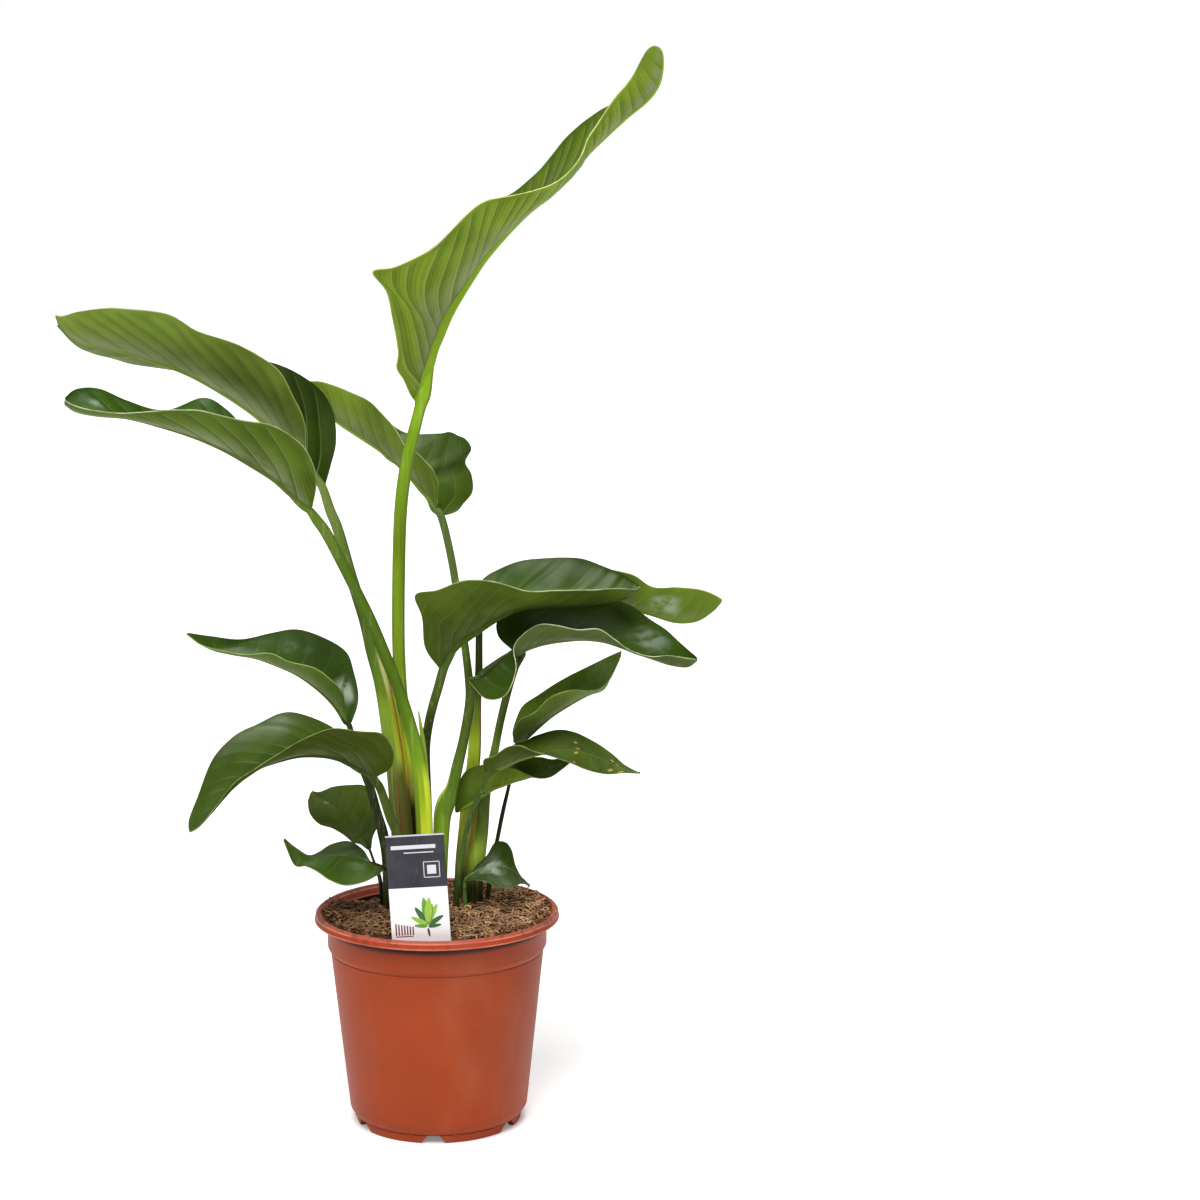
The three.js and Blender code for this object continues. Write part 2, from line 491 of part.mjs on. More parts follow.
function potProfile() {
  const lipBottom = POT_HEIGHT - LIP_HEIGHT;
  const lipInside = RIM_RADIUS - LIP_THICKNESS;
  const rimInside = RIM_RADIUS - RIM_TOP_WIDTH;
  const rimUnderside = POT_HEIGHT - RIM_TOP_THICKNESS;
  const footInside = FOOT_RADIUS - FOOT_WIDTH;
  const heelRadius = FOOT_RADIUS + EDGE_ROUNDING;
  const baseRise = BASE_HEIGHT - FOOT_HEIGHT;
  const baseStep = BASE_RADIUS - heelRadius;
  return [
    [0, BASE_PANEL_UNDERSIDE],
    [footInside - EDGE_ROUNDING, BASE_PANEL_UNDERSIDE],
    [footInside, 0],
    [FOOT_RADIUS - EDGE_ROUNDING, 0],
    [FOOT_RADIUS, EDGE_ROUNDING],
    [heelRadius, FOOT_HEIGHT],
    [heelRadius + baseStep * 0.45, FOOT_HEIGHT + baseRise * 0.15],
    [heelRadius + baseStep * 0.85, FOOT_HEIGHT + baseRise * 0.5],
    [BASE_RADIUS, BASE_HEIGHT],
    [STEP_RADIUS, STEP_HEIGHT],
    [COLLAR_RADIUS, STEP_HEIGHT + STEP_RISE],
    [COLLAR_RADIUS, lipBottom - EDGE_ROUNDING],
    [rimInside - EDGE_ROUNDING, rimUnderside],
    [lipInside, rimUnderside],
    [lipInside, lipBottom],
    [RIM_RADIUS - EDGE_ROUNDING, lipBottom],
    [RIM_RADIUS, lipBottom + EDGE_ROUNDING],
    [RIM_RADIUS, POT_HEIGHT - EDGE_ROUNDING],
    [RIM_RADIUS - EDGE_ROUNDING, POT_HEIGHT],
    [rimInside, POT_HEIGHT],
    [rimInside - EDGE_ROUNDING, POT_HEIGHT - EDGE_ROUNDING],
    [rimInside - 3 * EDGE_ROUNDING, POT_HEIGHT - 3 * EDGE_ROUNDING],
    ...innerWall(0).reverse(),
    [0, BASE_PANEL_TOP],
  ];
}

// Each notch is a wedge with slanting ends, cut up into the foot ring
function notchSolid(angle) {
  const shape = new THREE.Shape([
    new THREE.Vector2(-NOTCH_WIDTH_AT_FLOOR / 2, -CUT_OVERRUN),
    new THREE.Vector2(NOTCH_WIDTH_AT_FLOOR / 2, -CUT_OVERRUN),
    new THREE.Vector2(NOTCH_WIDTH_AT_TOP / 2, NOTCH_HEIGHT),
    new THREE.Vector2(-NOTCH_WIDTH_AT_TOP / 2, NOTCH_HEIGHT),
  ]);
  const reach = 3 * FOOT_WIDTH;
  const geometry = new THREE.ExtrudeGeometry(shape, { depth: reach, bevelEnabled: false });
  geometry.rotateX(Math.PI / 2);
  geometry.translate(0, FOOT_RADIUS + reach / 3, 0);
  geometry.rotateZ(angle - Math.PI / 2);
  return solidOf(geometry);
}

function drainHoleSolid(angle) {
  const reach = BASE_PANEL_TOP - BASE_PANEL_UNDERSIDE + 2 * CUT_OVERRUN;
  const geometry = new THREE.CylinderGeometry(DRAIN_HOLE_RADIUS, DRAIN_HOLE_RADIUS, reach, 12);
  geometry.rotateX(Math.PI / 2);
  geometry.translate(DRAIN_HOLE_CIRCLE, 0, (BASE_PANEL_TOP + BASE_PANEL_UNDERSIDE) / 2);
  geometry.rotateZ(angle);
  return solidOf(geometry);
}

function potGeometry() {
  let pot = solidOf(turned(potProfile()));
  for (let i = 0; i < NOTCH_COUNT; i += 1) {
    const angle = NOTCH_FIRST_ANGLE + (i * 2 * Math.PI) / NOTCH_COUNT;
    pot = pot.subtract(notchSolid(angle));
    pot = pot.subtract(drainHoleSolid(angle + Math.PI / NOTCH_COUNT));
  }
  return geometryOf(pot);
}

// The label's stake from its point up to the card, widened on all sides by grow
function stakeShape(grow) {
  const half = STAKE_WIDTH / 2 + grow;
  const bottom = -STAKE_LENGTH - 2 * grow;
  return new THREE.Shape([
    new THREE.Vector2(0, bottom),
    new THREE.Vector2(half, bottom + STAKE_POINT),
    new THREE.Vector2(half, 0),
    new THREE.Vector2(-half, 0),
    new THREE.Vector2(-half, bottom + STAKE_POINT),
  ]);
}

function labelShape() {
  const stake = stakeShape(0).getPoints();
  const half = LABEL_WIDTH / 2;
  return new THREE.Shape([
    ...stake.slice(0, 3),
    new THREE.Vector2(half, 0),
    new THREE.Vector2(half, LABEL_HEIGHT),
    new THREE.Vector2(-half, LABEL_HEIGHT),
    new THREE.Vector2(-half, 0),
    ...stake.slice(3),
  ]);
}

// Stands a flat outline upright and leans it as the label leans
function standingPlate(shape, thickness) {
  const geometry = new THREE.ExtrudeGeometry(shape, { depth: thickness, bevelEnabled: false });
  geometry.translate(0, 0, -thickness / 2);
  geometry.rotateX(Math.PI / 2 - LABEL_LEAN_BACK);
  geometry.rotateY(-LABEL_TILT);
  geometry.translate(LABEL_CENTRE_X, LABEL_Y, SOIL_TOP + LABEL_LIFT);
  return geometry;
}

function soilGeometry() {
  const filling = turned([
    [0, BASE_PANEL_TOP + CLEARANCE],
    ...innerWall(CLEARANCE),
    [SOIL_RADIUS, SOIL_TOP],
    [0, SOIL_TOP],
  ]);
  const slot = standingPlate(stakeShape(CLEARANCE), LABEL_THICKNESS + 2 * CLEARANCE);
  return geometryOf(solidOf(filling).subtract(solidOf(slot)));
}

// A closed sheet: a grid of points along the leaf and across it, thickened along its normals
function sheetGeometry(grid, thickness) {
  const rows = grid.length;
  const columns = grid[0].length;
  const across = new THREE.Vector3();
  const along = new THREE.Vector3();
  const positions = [];
  for (const side of [1, -1]) {
    for (let i = 0; i < rows; i += 1) {
      for (let j = 0; j < columns; j += 1) {
        along.subVectors(grid[Math.min(i + 1, rows - 1)][j], grid[Math.max(i - 1, 0)][j]);
        across.subVectors(grid[i][Math.min(j + 1, columns - 1)], grid[i][Math.max(j - 1, 0)]);
        const normal = along.clone().cross(across).normalize();
        const point = grid[i][j].clone().addScaledVector(normal, (side * thickness) / 2);
        positions.push(point.x, point.y, point.z);
      }
    }
  }
  const top = (i, j) => i * columns + j;
  const bottom = (i, j) => rows * columns + i * columns + j;
  const index = [];
  const quad = (a, b, c, d) => index.push(a, b, c, a, c, d);
  for (let i = 0; i < rows - 1; i += 1) {
    for (let j = 0; j < columns - 1; j += 1) {
      quad(top(i, j), top(i + 1, j), top(i + 1, j + 1), top(i, j + 1));
      quad(bottom(i, j), bottom(i, j + 1), bottom(i + 1, j + 1), bottom(i + 1, j));
    }
    quad(top(i, 0), bottom(i, 0), bottom(i + 1, 0), top(i + 1, 0));
    quad(top(i, columns - 1), top(i + 1, columns - 1), bottom(i + 1, columns - 1), bottom(i, columns - 1));
  }
  for (let j = 0; j < columns - 1; j += 1) {
    quad(top(0, j), top(0, j + 1), bottom(0, j + 1), bottom(0, j));
    quad(top(rows - 1, j), bottom(rows - 1, j), bottom(rows - 1, j + 1), top(rows - 1, j + 1));
  }
  const geometry = new THREE.BufferGeometry();
  geometry.setAttribute('position', new THREE.Float32BufferAttribute(positions, 3));
  geometry.setIndex(index);
  geometry.computeVertexNormals();
  return geometry;
}

// The blade is spanned from its midrib to its two edges, station by station
function bladeGeometry(leaf) {
  const grid = leaf.midrib.map((mid, i) => {
    const row = [];
    for (let j = -BLADE_COLUMNS; j <= BLADE_COLUMNS; j += 1) {
      const edge = j < 0 ? leaf.nearEdge[i] : leaf.farEdge[i];
      const point = new THREE.Vector3(...mid);
      row.push(point.lerp(new THREE.Vector3(...edge), Math.abs(j) / BLADE_COLUMNS));
    }
    return row;
  });
  return sheetGeometry(grid, BLADE_THICKNESS);
}

// A stalk is a run of oval rings given as [x, y, z, width]; its last ring lies flat on the soil
function stalkGeometry(rings) {
  const viewDirection = new THREE.Vector3(0, 1, 0);
  const centres = rings.map(([x, y, z]) => new THREE.Vector3(x, y, z));
  const positions = [];
  centres.forEach((centre, i) => {
    const tangent = new THREE.Vector3(0, 0, -1);
    if (i < centres.length - 1) {
      tangent.subVectors(centres[i + 1], centres[Math.max(i - 1, 0)]).normalize();
    }
    const sideways = new THREE.Vector3().crossVectors(viewDirection, tangent).normalize();
    const depthways = new THREE.Vector3().crossVectors(tangent, sideways);
    for (let k = 0; k < STALK_SIDES; k += 1) {
      const angle = (2 * Math.PI * k) / STALK_SIDES;
      const point = centre.clone();
      point.addScaledVector(sideways, (Math.cos(angle) * rings[i][3]) / 2);
      point.addScaledVector(depthways, (Math.sin(angle) * rings[i][3] * STALK_DEPTH_RATIO) / 2);
      positions.push(point.x, point.y, point.z);
    }
  });
  const index = [];
  const last = (centres.length - 1) * STALK_SIDES;
  for (let k = 0; k < STALK_SIDES; k += 1) {
    const next = (k + 1) % STALK_SIDES;
    for (let i = 0; i < last; i += STALK_SIDES) {
      index.push(i + k, i + next, i + STALK_SIDES + next);
      index.push(i + k, i + STALK_SIDES + next, i + STALK_SIDES + k);
    }
    if (k > 0 && next > 0) {
      index.push(0, next, k);
      index.push(last, last + k, last + next);
    }
  }
  const geometry = new THREE.BufferGeometry();
  geometry.setAttribute('position', new THREE.Float32BufferAttribute(positions, 3));
  geometry.setIndex(index);
  geometry.computeVertexNormals();
  return geometry;
}

const plant = new THREE.Group();

function addPart(name, geometry, material) {
  const mesh = new THREE.Mesh(geometry, material);
  mesh.name = name;
  plant.add(mesh);
}

addPart('pot', potGeometry(), MATERIALS.pot);
addPart('soil', soilGeometry(), MATERIALS.soil);

addPart('plant_label', standingPlate(labelShape(), LABEL_THICKNESS), MATERIALS.label);

for (const leaf of LEAVES) {
  addPart(`${leaf.name}_blade`, bladeGeometry(leaf), MATERIALS.blade);
  addPart(`${leaf.name}_stalk`, stalkGeometry(leaf.stalk), MATERIALS.stalk);
}
addPart('next_leaf_spear', stalkGeometry(NEXT_LEAF), MATERIALS.stalk);

export default plant;
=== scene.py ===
"""A potted white bird of paradise: the looks of every piece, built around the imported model."""

import math
import random

import bpy
from mathutils import Matrix, Vector, noise


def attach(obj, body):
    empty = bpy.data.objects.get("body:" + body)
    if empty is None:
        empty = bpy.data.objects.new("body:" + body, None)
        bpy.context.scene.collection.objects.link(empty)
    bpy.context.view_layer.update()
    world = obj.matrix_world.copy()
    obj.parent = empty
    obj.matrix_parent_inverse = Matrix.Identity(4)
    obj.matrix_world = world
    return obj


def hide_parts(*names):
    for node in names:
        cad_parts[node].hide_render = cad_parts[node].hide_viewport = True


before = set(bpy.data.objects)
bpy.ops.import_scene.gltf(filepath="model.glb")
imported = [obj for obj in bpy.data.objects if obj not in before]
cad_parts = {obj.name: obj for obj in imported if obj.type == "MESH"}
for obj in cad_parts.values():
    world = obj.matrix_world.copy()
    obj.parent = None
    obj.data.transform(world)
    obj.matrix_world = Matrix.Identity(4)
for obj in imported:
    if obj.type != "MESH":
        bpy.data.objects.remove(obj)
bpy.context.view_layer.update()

MM = 0.001


# The camera stands 1.9 m in front of the pot at about the height of the topmost leaf and looks a
# little down, which is where the photograph was taken from.
CAMERA_PLACE = (0.1134, -1.9125, 0.6808)
LOOKS_DOWN = 9.29
FOCAL_LENGTH = 85
SENSOR_WIDTH = 36

bpy.ops.object.camera_add(location=CAMERA_PLACE, rotation=(math.radians(90 - LOOKS_DOWN), 0, 0))
camera = bpy.context.object
camera.name = "camera"
camera.data.lens = FOCAL_LENGTH
camera.data.sensor_width = SENSOR_WIDTH
bpy.context.scene.camera = camera


# Studio: a white table, a white room and two large soft lights, one high in front and a little to
# the left, one high behind that glances off the upper sides. Nothing here belongs to the plant.
TABLE_RADIUS = 9
TABLE_GLOW = 0.22
ROOM_LIGHT = 0.28
LIGHTS = {
    "key_light": {"tilt": 33, "turn": -10, "energy": 3.0, "angle": 34},
    "back_light": {"tilt": -24, "turn": -14, "energy": 1.2, "angle": 30},
}
BLACK = (0.0, 0.0, 0.0)
WHITE = (1.0, 1.0, 1.0)


class Wire:
    """A shader socket that can be used in sums like a number; each sum adds its Math node."""

    def __init__(self, finish, socket):
        self.finish = finish
        self.socket = socket

    def sum(self, operation, *values):
        """The Math node of this operation on these values."""
        return self.finish.node("Math", {"operation": operation}, dict(enumerate(values)))

    def __add__(self, other):
        return self.sum("ADD", self, other)

    def __radd__(self, other):
        return self.sum("ADD", other, self)

    def __sub__(self, other):
        return self.sum("SUBTRACT", self, other)

    def __rsub__(self, other):
        return self.sum("SUBTRACT", other, self)

    def __mul__(self, other):
        return self.sum("MULTIPLY", self, other)

    def __rmul__(self, other):
        return self.sum("MULTIPLY", other, self)

    def __truediv__(self, other):
        return self.sum("DIVIDE", self, other)

    def __pow__(self, other):
        return self.sum("POWER", self, other)

    def __abs__(self):
        return self.sum("ABSOLUTE", self)

    def fraction(self):
        """What is left over this value's last whole number."""
        return self.sum("FRACT", self)

    def wave(self):
        """A cosine that runs from 0 to 1 and back each time this value grows by 1."""
        return self.sum("COSINE", self * math.tau) * 0.5 + 0.5

    def rise(self, low, high):
        """0 below low, 1 above high and smooth between; with low over high it falls instead."""
        ends = (high, low, 1, 0) if low > high else (low, high, 0, 1)
        settings = {"interpolation_type": "SMOOTHSTEP"}
        return self.finish.node("MapRange", settings, dict(enumerate((self, *ends))))

    def band(self, start, full, fading, gone):
        """1 between full and fading, 0 before start and after gone, and smooth between."""
        return self.rise(start, full) * self.rise(gone, fading)


class Finish:
    """A material under construction: one Principled surface, the nodes that feed it, its skin."""

    def __init__(self, name, **surface):
        self.material = bpy.data.materials.new(name)
        self.material.use_nodes = True
        self.tree = self.material.node_tree
        self.shader = self.tree.nodes["Principled BSDF"]
        self.skin = BLACK
        self.set(**surface)

    def set(self, **surface):
        """Sets the surface's own sockets, named in lower case, to a value or to a wire."""
        for name, value in surface.items():
            title = name.replace("_", " ").title().replace("Ior", "IOR")
            self.feed(self.shader.inputs[title], value)

    def feed(self, socket, value):
        """Links a wire to the socket, or sets the socket to a number or a colour."""
        if isinstance(value, Wire):
            self.tree.links.new(value.socket, socket)
        elif isinstance(value, tuple) and len(value) == 3 and socket.type == "RGBA":
            socket.default_value = (*value, 1)
        else:
            socket.default_value = value

    def node(self, kind, settings=None, values=None, output=0):
        """Adds a node of this kind and returns the wire that leaves it."""
        new = self.tree.nodes.new("ShaderNode" + kind)
        for name, value in (settings or {}).items():
            setattr(new, name, value)
        for key, value in (values or {}).items():
            self.feed(new.inputs[key], value)
        return Wire(self, new.outputs[output])

    def place(self):
        """Where this point of the surface lies, in the part's own coordinates."""
        return self.node("TexCoord", output="Object")

    def coordinate(self, axis):
        """The point's distance along one axis: 0 is x and 2 is z."""
        return self.node("SeparateXYZ", None, {0: self.place()}, output=axis)

    def own(self, attribute):
        """A value that the mesh carries at each of its points."""
        return self.node("Attribute", {"attribute_name": attribute}, output="Fac")

    def mottle(self, scale, detail=2, stretch=None, roughness=0.5):
        """Cloudy noise from 0 to 1 with this many clouds to the metre."""
        place = self.place()
        if stretch:
            place = self.node("VectorMath", {"operation": "MULTIPLY"}, {0: place, 1: stretch})
        values = {"Vector": place, "Scale": scale, "Detail": detail, "Roughness": roughness}
        return self.node("TexNoise", None, values)

    def mix(self, amount, first, second):
        """Goes from the first colour to the second as the amount goes from 0 to 1."""
        return self.node("Mix", {"data_type": "RGBA"}, {0: amount, 6: first, 7: second}, output=2)

    def coat(self, amount, colour):
        """Lays this much of a colour over the skin as it is so far."""
        self.skin = self.mix(amount, self.skin, colour)

    def relief(self, height, depth, under=None):
        """A bump of this height, in metres of depth; under is another bump that it lies on."""
        values = {"Height": height, "Distance": depth, "Strength": 1.0}
        if under:
            values["Normal"] = under
        return self.node("Bump", None, values)


def srgb(red, green, blue):
    """A colour as it looks on a screen, from 0 to 255, turned into the light that it stands for."""
    def light(value):
        value /= 255
        return value / 12.92 if value <= 0.04045 else ((value + 0.055) / 1.055) ** 2.4
    return (light(red), light(green), light(blue))


bpy.ops.mesh.primitive_circle_add(vertices=96, radius=TABLE_RADIUS, fill_type="NGON")
table = bpy.context.object
table.name = "table"
paper = Finish("white_table", base_color=srgb(246, 246, 246), roughness=0.6)
seen = paper.node("LightPath", output="Is Camera Ray")
paper.set(emission_color=paper.mix(seen, BLACK, WHITE), emission_strength=TABLE_GLOW)
table.data.materials.append(paper.material)

for name, light in LIGHTS.items():
    turned = (math.radians(light["tilt"]), 0, math.radians(light["turn"]))
    bpy.ops.object.light_add(type="SUN", rotation=turned, location=(0, 0, 2))
    lamp = bpy.context.object
    lamp.name = name
    lamp.data.energy = light["energy"]
    lamp.data.angle = math.radians(light["angle"])

room = bpy.data.worlds.new("white_room")
bpy.context.scene.world = room
room.use_nodes = True
wires = room.node_tree
lit = wires.nodes["Background"]
lit.inputs["Strength"].default_value = ROOM_LIGHT
seen = wires.nodes.new("ShaderNodeBackground")
for background in (lit, seen):
    background.inputs["Color"].default_value = (*WHITE, 1)
ray = wires.nodes.new("ShaderNodeLightPath")
either = wires.nodes.new("ShaderNodeMixShader")
wires.links.new(ray.outputs["Is Camera Ray"], either.inputs[0])
wires.links.new(lit.outputs[0], either.inputs[1])
wires.links.new(seen.outputs[0], either.inputs[2])
wires.links.new(either.outputs[0], wires.nodes["World Output"].inputs["Surface"])
bpy.context.scene.view_settings.view_transform = "Standard"


# Nursery pot: one thin piece of moulded terracotta-coloured plastic, with a rolled lip, a collar
# step under it, a recessed foot ring with drainage notches and small blocks between foot and wall.
# Its outline is given as (radius, height) in millimetres, up the outside and down the inside.
POT_OUTLINE = [
    (56.6, 0.0), (57.1, 0.2), (57.4, 0.8), (58.3, 5.2), (58.3, 5.7), (57.8, 6.0), (57.7, 6.3),
    (58.9, 6.4), (59.3, 6.8), (59.4, 7.4), (59.9, 8.2), (60.9, 9.2), (61.6, 10.2), (62.1, 11.8),
    (62.3, 13.6), (74.0, 121.6), (73.9, 122.2), (73.6, 122.5), (73.7, 122.9), (74.3, 123.2),
    (74.9, 124.0), (75.6, 125.1), (76.0, 125.9), (76.2, 127.0), (76.2, 142.4), (76.6, 143.6),
    (77.6, 144.9), (79.2, 146.2), (80.8, 147.0), (82.4, 147.2), (83.1, 146.6), (83.3, 145.4),
    (83.5, 144.7), (83.9, 144.4), (84.5, 144.4), (84.9, 144.7), (85.0, 145.1), (84.95, 145.6),
    (84.7, 146.0), (84.3, 148.3), (84.3, 148.7), (83.9, 149.3), (82.9, 150.1), (82.2, 150.4),
    (81.4, 150.3), (80.6, 149.7), (79.6, 148.9), (77.4, 147.0), (75.4, 145.0), (74.8, 143.4),
    (74.7, 127.8), (74.2, 126.2), (72.9, 124.6), (72.5, 123.4), (60.0, 11.2), (57.2, 7.8),
    (50.0, 7.8), (0.02, 7.8),
]
UNDERSIDE_OUTLINE = [(56.6, 0.0), (53.6, 0.0), (53.2, 0.4), (52.8, 5.4), (52.2, 6.2), (0.02, 6.2)]
POINTS_ROUND_POT = 192
NOTCH_ANGLES = [math.radians(-90.6 + 60 * i) for i in range(6)]
NOTCH_TOP = {"width": 8.4, "height": 5.8}
NOTCH_FOOT = {"width": 20.2, "height": -2.0}
NOTCH_FROM, NOTCH_TO = 50, 60
HOLE = {"radius": 4, "depth": 8, "height": 7, "from_middle": 38}
BLOCK = {"size": (1.8 * MM, 2.6 * MM, 1.5 * MM), "height": 5.9, "from_middle": 58.4}
BESIDE_NOTCH = (-15, 15)


def only(piece):
    """Leaves this piece alone selected and active: operators act on all that is selected."""
    bpy.ops.object.select_all(action="DESELECT")
    piece.select_set(True)
    bpy.context.view_layer.objects.active = piece


def turn_up(name, outline):
    """Grows a ring edge by edge along an outline of (radius, height), as on a potter's wheel."""
    radius, height = outline[0]
    bpy.ops.mesh.primitive_circle_add(
        vertices=POINTS_ROUND_POT, radius=radius * MM, location=(0, 0, height * MM)
    )
    ring = bpy.context.object
    ring.name = name
    bpy.ops.object.transform_apply(location=True, rotation=True, scale=True)
    bpy.ops.object.mode_set(mode="EDIT")
    bpy.ops.mesh.select_all(action="SELECT")
    for wider, higher in outline[1:]:
        rise = (0, 0, (higher - height) * MM)
        bpy.ops.mesh.extrude_edges_move(TRANSFORM_OT_translate={"value": rise})
        factor = wider / radius
        bpy.ops.transform.resize(value=(factor, factor, 1), center_override=(0, 0, higher * MM))
        radius, height = wider, higher
    bpy.ops.object.mode_set(mode="OBJECT")
    return ring


def face_outwards(piece, doubles_within=None):
    """Merges doubles and fills what is open, if asked, and turns all the faces outwards."""
    only(piece)
    bpy.ops.object.mode_set(mode="EDIT")
    bpy.ops.mesh.select_all(action="SELECT")
    if doubles_within:
        bpy.ops.mesh.remove_doubles(threshold=doubles_within)
        bpy.ops.mesh.fill_holes(sides=0)
    bpy.ops.mesh.normals_make_consistent(inside=False)
    bpy.ops.object.mode_set(mode="OBJECT")


def cut(piece, cutter):
    """Cuts the second piece's shape out of the first."""
    only(piece)
    bpy.ops.object.modifier_add(type="BOOLEAN")
    boolean = piece.modifiers[-1]
    boolean.operation = "DIFFERENCE"
    boolean.solver = "EXACT"
    boolean.object = cutter
    bpy.ops.object.modifier_apply(modifier=boolean.name)
    bpy.data.objects.remove(cutter)


def joined(pieces, name):
    """Several objects made one."""
    bpy.ops.object.select_all(action="DESELECT")
    for piece in pieces:
        piece.select_set(True)
    bpy.context.view_layer.objects.active = pieces[0]
    bpy.ops.object.join()
    pieces[0].name = name
    return pieces[0]


def settled(piece):
    """Puts the piece's place, turn and size into its mesh."""
    only(piece)
    bpy.ops.object.transform_apply(location=True, rotation=True, scale=True)
    return piece


def rounded(piece, width, segments):
    """Rounds all the edges of the piece."""
    only(piece)
    bpy.ops.object.modifier_add(type="BEVEL")
    piece.modifiers[0].width = width * MM
    piece.modifiers[0].segments = segments
    bpy.ops.object.modifier_apply(modifier="Bevel")
    return piece


def notch_cutter(angle):
    """A wedge across the foot ring: 17 mm wide at the table, 8 mm wide at its top."""
    bpy.ops.mesh.primitive_cube_add(size=1, location=(0, 0, 0))
    wedge = bpy.context.object
    for point in wedge.data.vertices:
        end = NOTCH_TOP if point.co.z > 0 else NOTCH_FOOT
        point.co.x *= end["width"] * MM
        point.co.y = (NOTCH_TO if point.co.y > 0 else NOTCH_FROM) * MM
        point.co.z = end["height"] * MM
    rounded(wedge, 1.2, 3)
    wedge.rotation_euler.z = angle - math.pi / 2
    return settled(wedge)


def round_the_middle(thing, angle):
    """Where a thing sits that repeats round the middle of the foot, in this direction."""
    radius = thing["from_middle"] * MM
    return (radius * math.cos(angle), radius * math.sin(angle), thing["height"] * MM)


def hole_cutter(angle):
    """A round drain hole in the base panel."""
    bpy.ops.mesh.primitive_cylinder_add(
        vertices=32, radius=HOLE["radius"] * MM, depth=HOLE["depth"] * MM,
        location=round_the_middle(HOLE, angle),
    )
    return settled(bpy.context.object)


def foot_block(angle):
    """A small block in the groove between the foot ring and the wall."""
    place = round_the_middle(BLOCK, angle)
    bpy.ops.mesh.primitive_cube_add(size=1, location=place, rotation=(0, 0, angle))
    bpy.context.object.scale = BLOCK["size"]
    return rounded(settled(bpy.context.object), 0.4, 2)


pot = turn_up("nursery_pot", POT_OUTLINE)
pot = joined([pot, turn_up("underside", UNDERSIDE_OUTLINE)], "nursery_pot")
face_outwards(pot, doubles_within=0.01 * MM)
for angle in NOTCH_ANGLES:
    cut(pot, notch_cutter(angle))
    cut(pot, hole_cutter(angle + math.radians(30)))
blocks = [
    foot_block(angle + math.radians(beside)) for angle in NOTCH_ANGLES for beside in BESIDE_NOTCH
]
pot = joined([pot] + blocks, "nursery_pot")
only(pot)
bpy.ops.object.shade_smooth_by_angle(angle=math.radians(35))


def tinted(colour, factor):
    """The same colour, this many times as bright."""
    return tuple(min(part * factor, 1) for part in colour)


# The lip has painted highlights along its edges, is paler and pinker on top and browner towards
# its left and right sides, and lies in painted shadow below; soil has stained it
TERRACOTTA = srgb(156, 62, 24)
DULL = tinted(TERRACOTTA, 0.92)
BRIGHT = tinted(TERRACOTTA, 1.07)
GRAINS = tinted(TERRACOTTA, 1.3)
# Heights in metres: painted shadow under the lip, the lip, painted highlights on its two edges
SHADE_UNDER_LIP = (0.1370, 0.1408, 0.1443, 0.1447)
LIP = (0.1444, 0.1448, 0.1504, 0.1510)
LOW_EDGE_HIGHLIGHT = (0.1441, 0.1446, 0.1452, 0.1458)
HIGH_EDGE_HIGHLIGHT = (0.1480, 0.1484, 0.1488, 0.1492)
plastic = Finish("terracotta_plastic", specular_ior_level=0.2)
clouds = plastic.mottle(22, 3)
grain = plastic.mottle(520, 3)
height = plastic.coordinate(2)
plastic.skin = plastic.mix(clouds.rise(0.3, 0.75), DULL, BRIGHT)
plastic.coat(grain.rise(0.3, 0.8) * 0.2, GRAINS)
dots = plastic.node("TexVoronoi", None, {"Vector": plastic.place(), "Scale": 210})
dirt = dots.rise(0.16, 0.08) * plastic.mottle(75, 1).rise(0.60, 0.68)
plastic.coat(dirt * (height.rise(0.100, 0.150) * 0.75 + 0.25) * 0.75, srgb(70, 40, 24))
plastic.coat(height.band(*SHADE_UNDER_LIP) * 0.96, srgb(40, 6, 3))
lip = height.band(*LIP)
plastic.coat(lip * 0.9, srgb(166, 60, 32))
plastic.coat(abs(plastic.coordinate(0)).rise(0.045, 0.08) * lip * 0.4, srgb(104, 60, 40))
# Painted highlights along the lip's lower and upper edges, patchy in strength
highlight_patchiness = clouds.rise(0.3, 0.6) * 0.6 + 0.25
painted_edge_highlights = height.band(*LOW_EDGE_HIGHLIGHT) * 0.8 + height.band(*HIGH_EDGE_HIGHLIGHT)
plastic.coat(painted_edge_highlights * highlight_patchiness, srgb(232, 138, 114))
plastic.coat(height.rise(0.1489, 0.1494) * 0.45, srgb(176, 112, 96))
soiled = plastic.mottle(130, 3).rise(0.5, 0.62) * height.rise(0.1440, 0.1470)
plastic.coat(soiled * 0.5, srgb(96, 56, 34))
dust = plastic.mottle(16, 4, stretch=(1, 1, 0.5)).rise(0.52, 0.78)
plastic.coat(dust * 0.12, srgb(196, 150, 124))
plastic.set(
    base_color=plastic.skin,
    roughness=clouds * 0.14 + grain * 0.08 + 0.34,
    normal=plastic.relief(grain * 0.5 + clouds, 0.09 * MM),
)
pot.data.materials.append(plastic.material)
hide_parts("pot")
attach(pot, "root")


# Potting mix: coir and peat that fills the pot to just under the lip, heaped at the back on the
# right and sunk at the back on the left. Its skin is a lumpy disc, drawn in to the pot's inside at
# its edge and closed below, with loose chips, fibres and crumbs on it.
SOIL_LEVEL = 149.5
SOIL_SIDE = [(74.3, 142.6), (74.3, 128.0), (72.1, 124.6), (59.4, 12.0), (56.6, 8.2)]
HEAPS = [
    {"middle": (-48, 54), "spread": 22, "height": -9.0},
    {"middle": (58, 30), "spread": 24, "height": 1.6},
    {"middle": (-62, -28), "spread": 3.2, "height": -5.0},
]
LABEL_TRENCH = {"middle": (-6, -72), "width": 24, "depth": 9, "height": -5.0}
SOIL_RADIUS = 76
SOIL_RINGS = 100
SOIL_FACETS = 2 * SOIL_RINGS
random.seed(11)


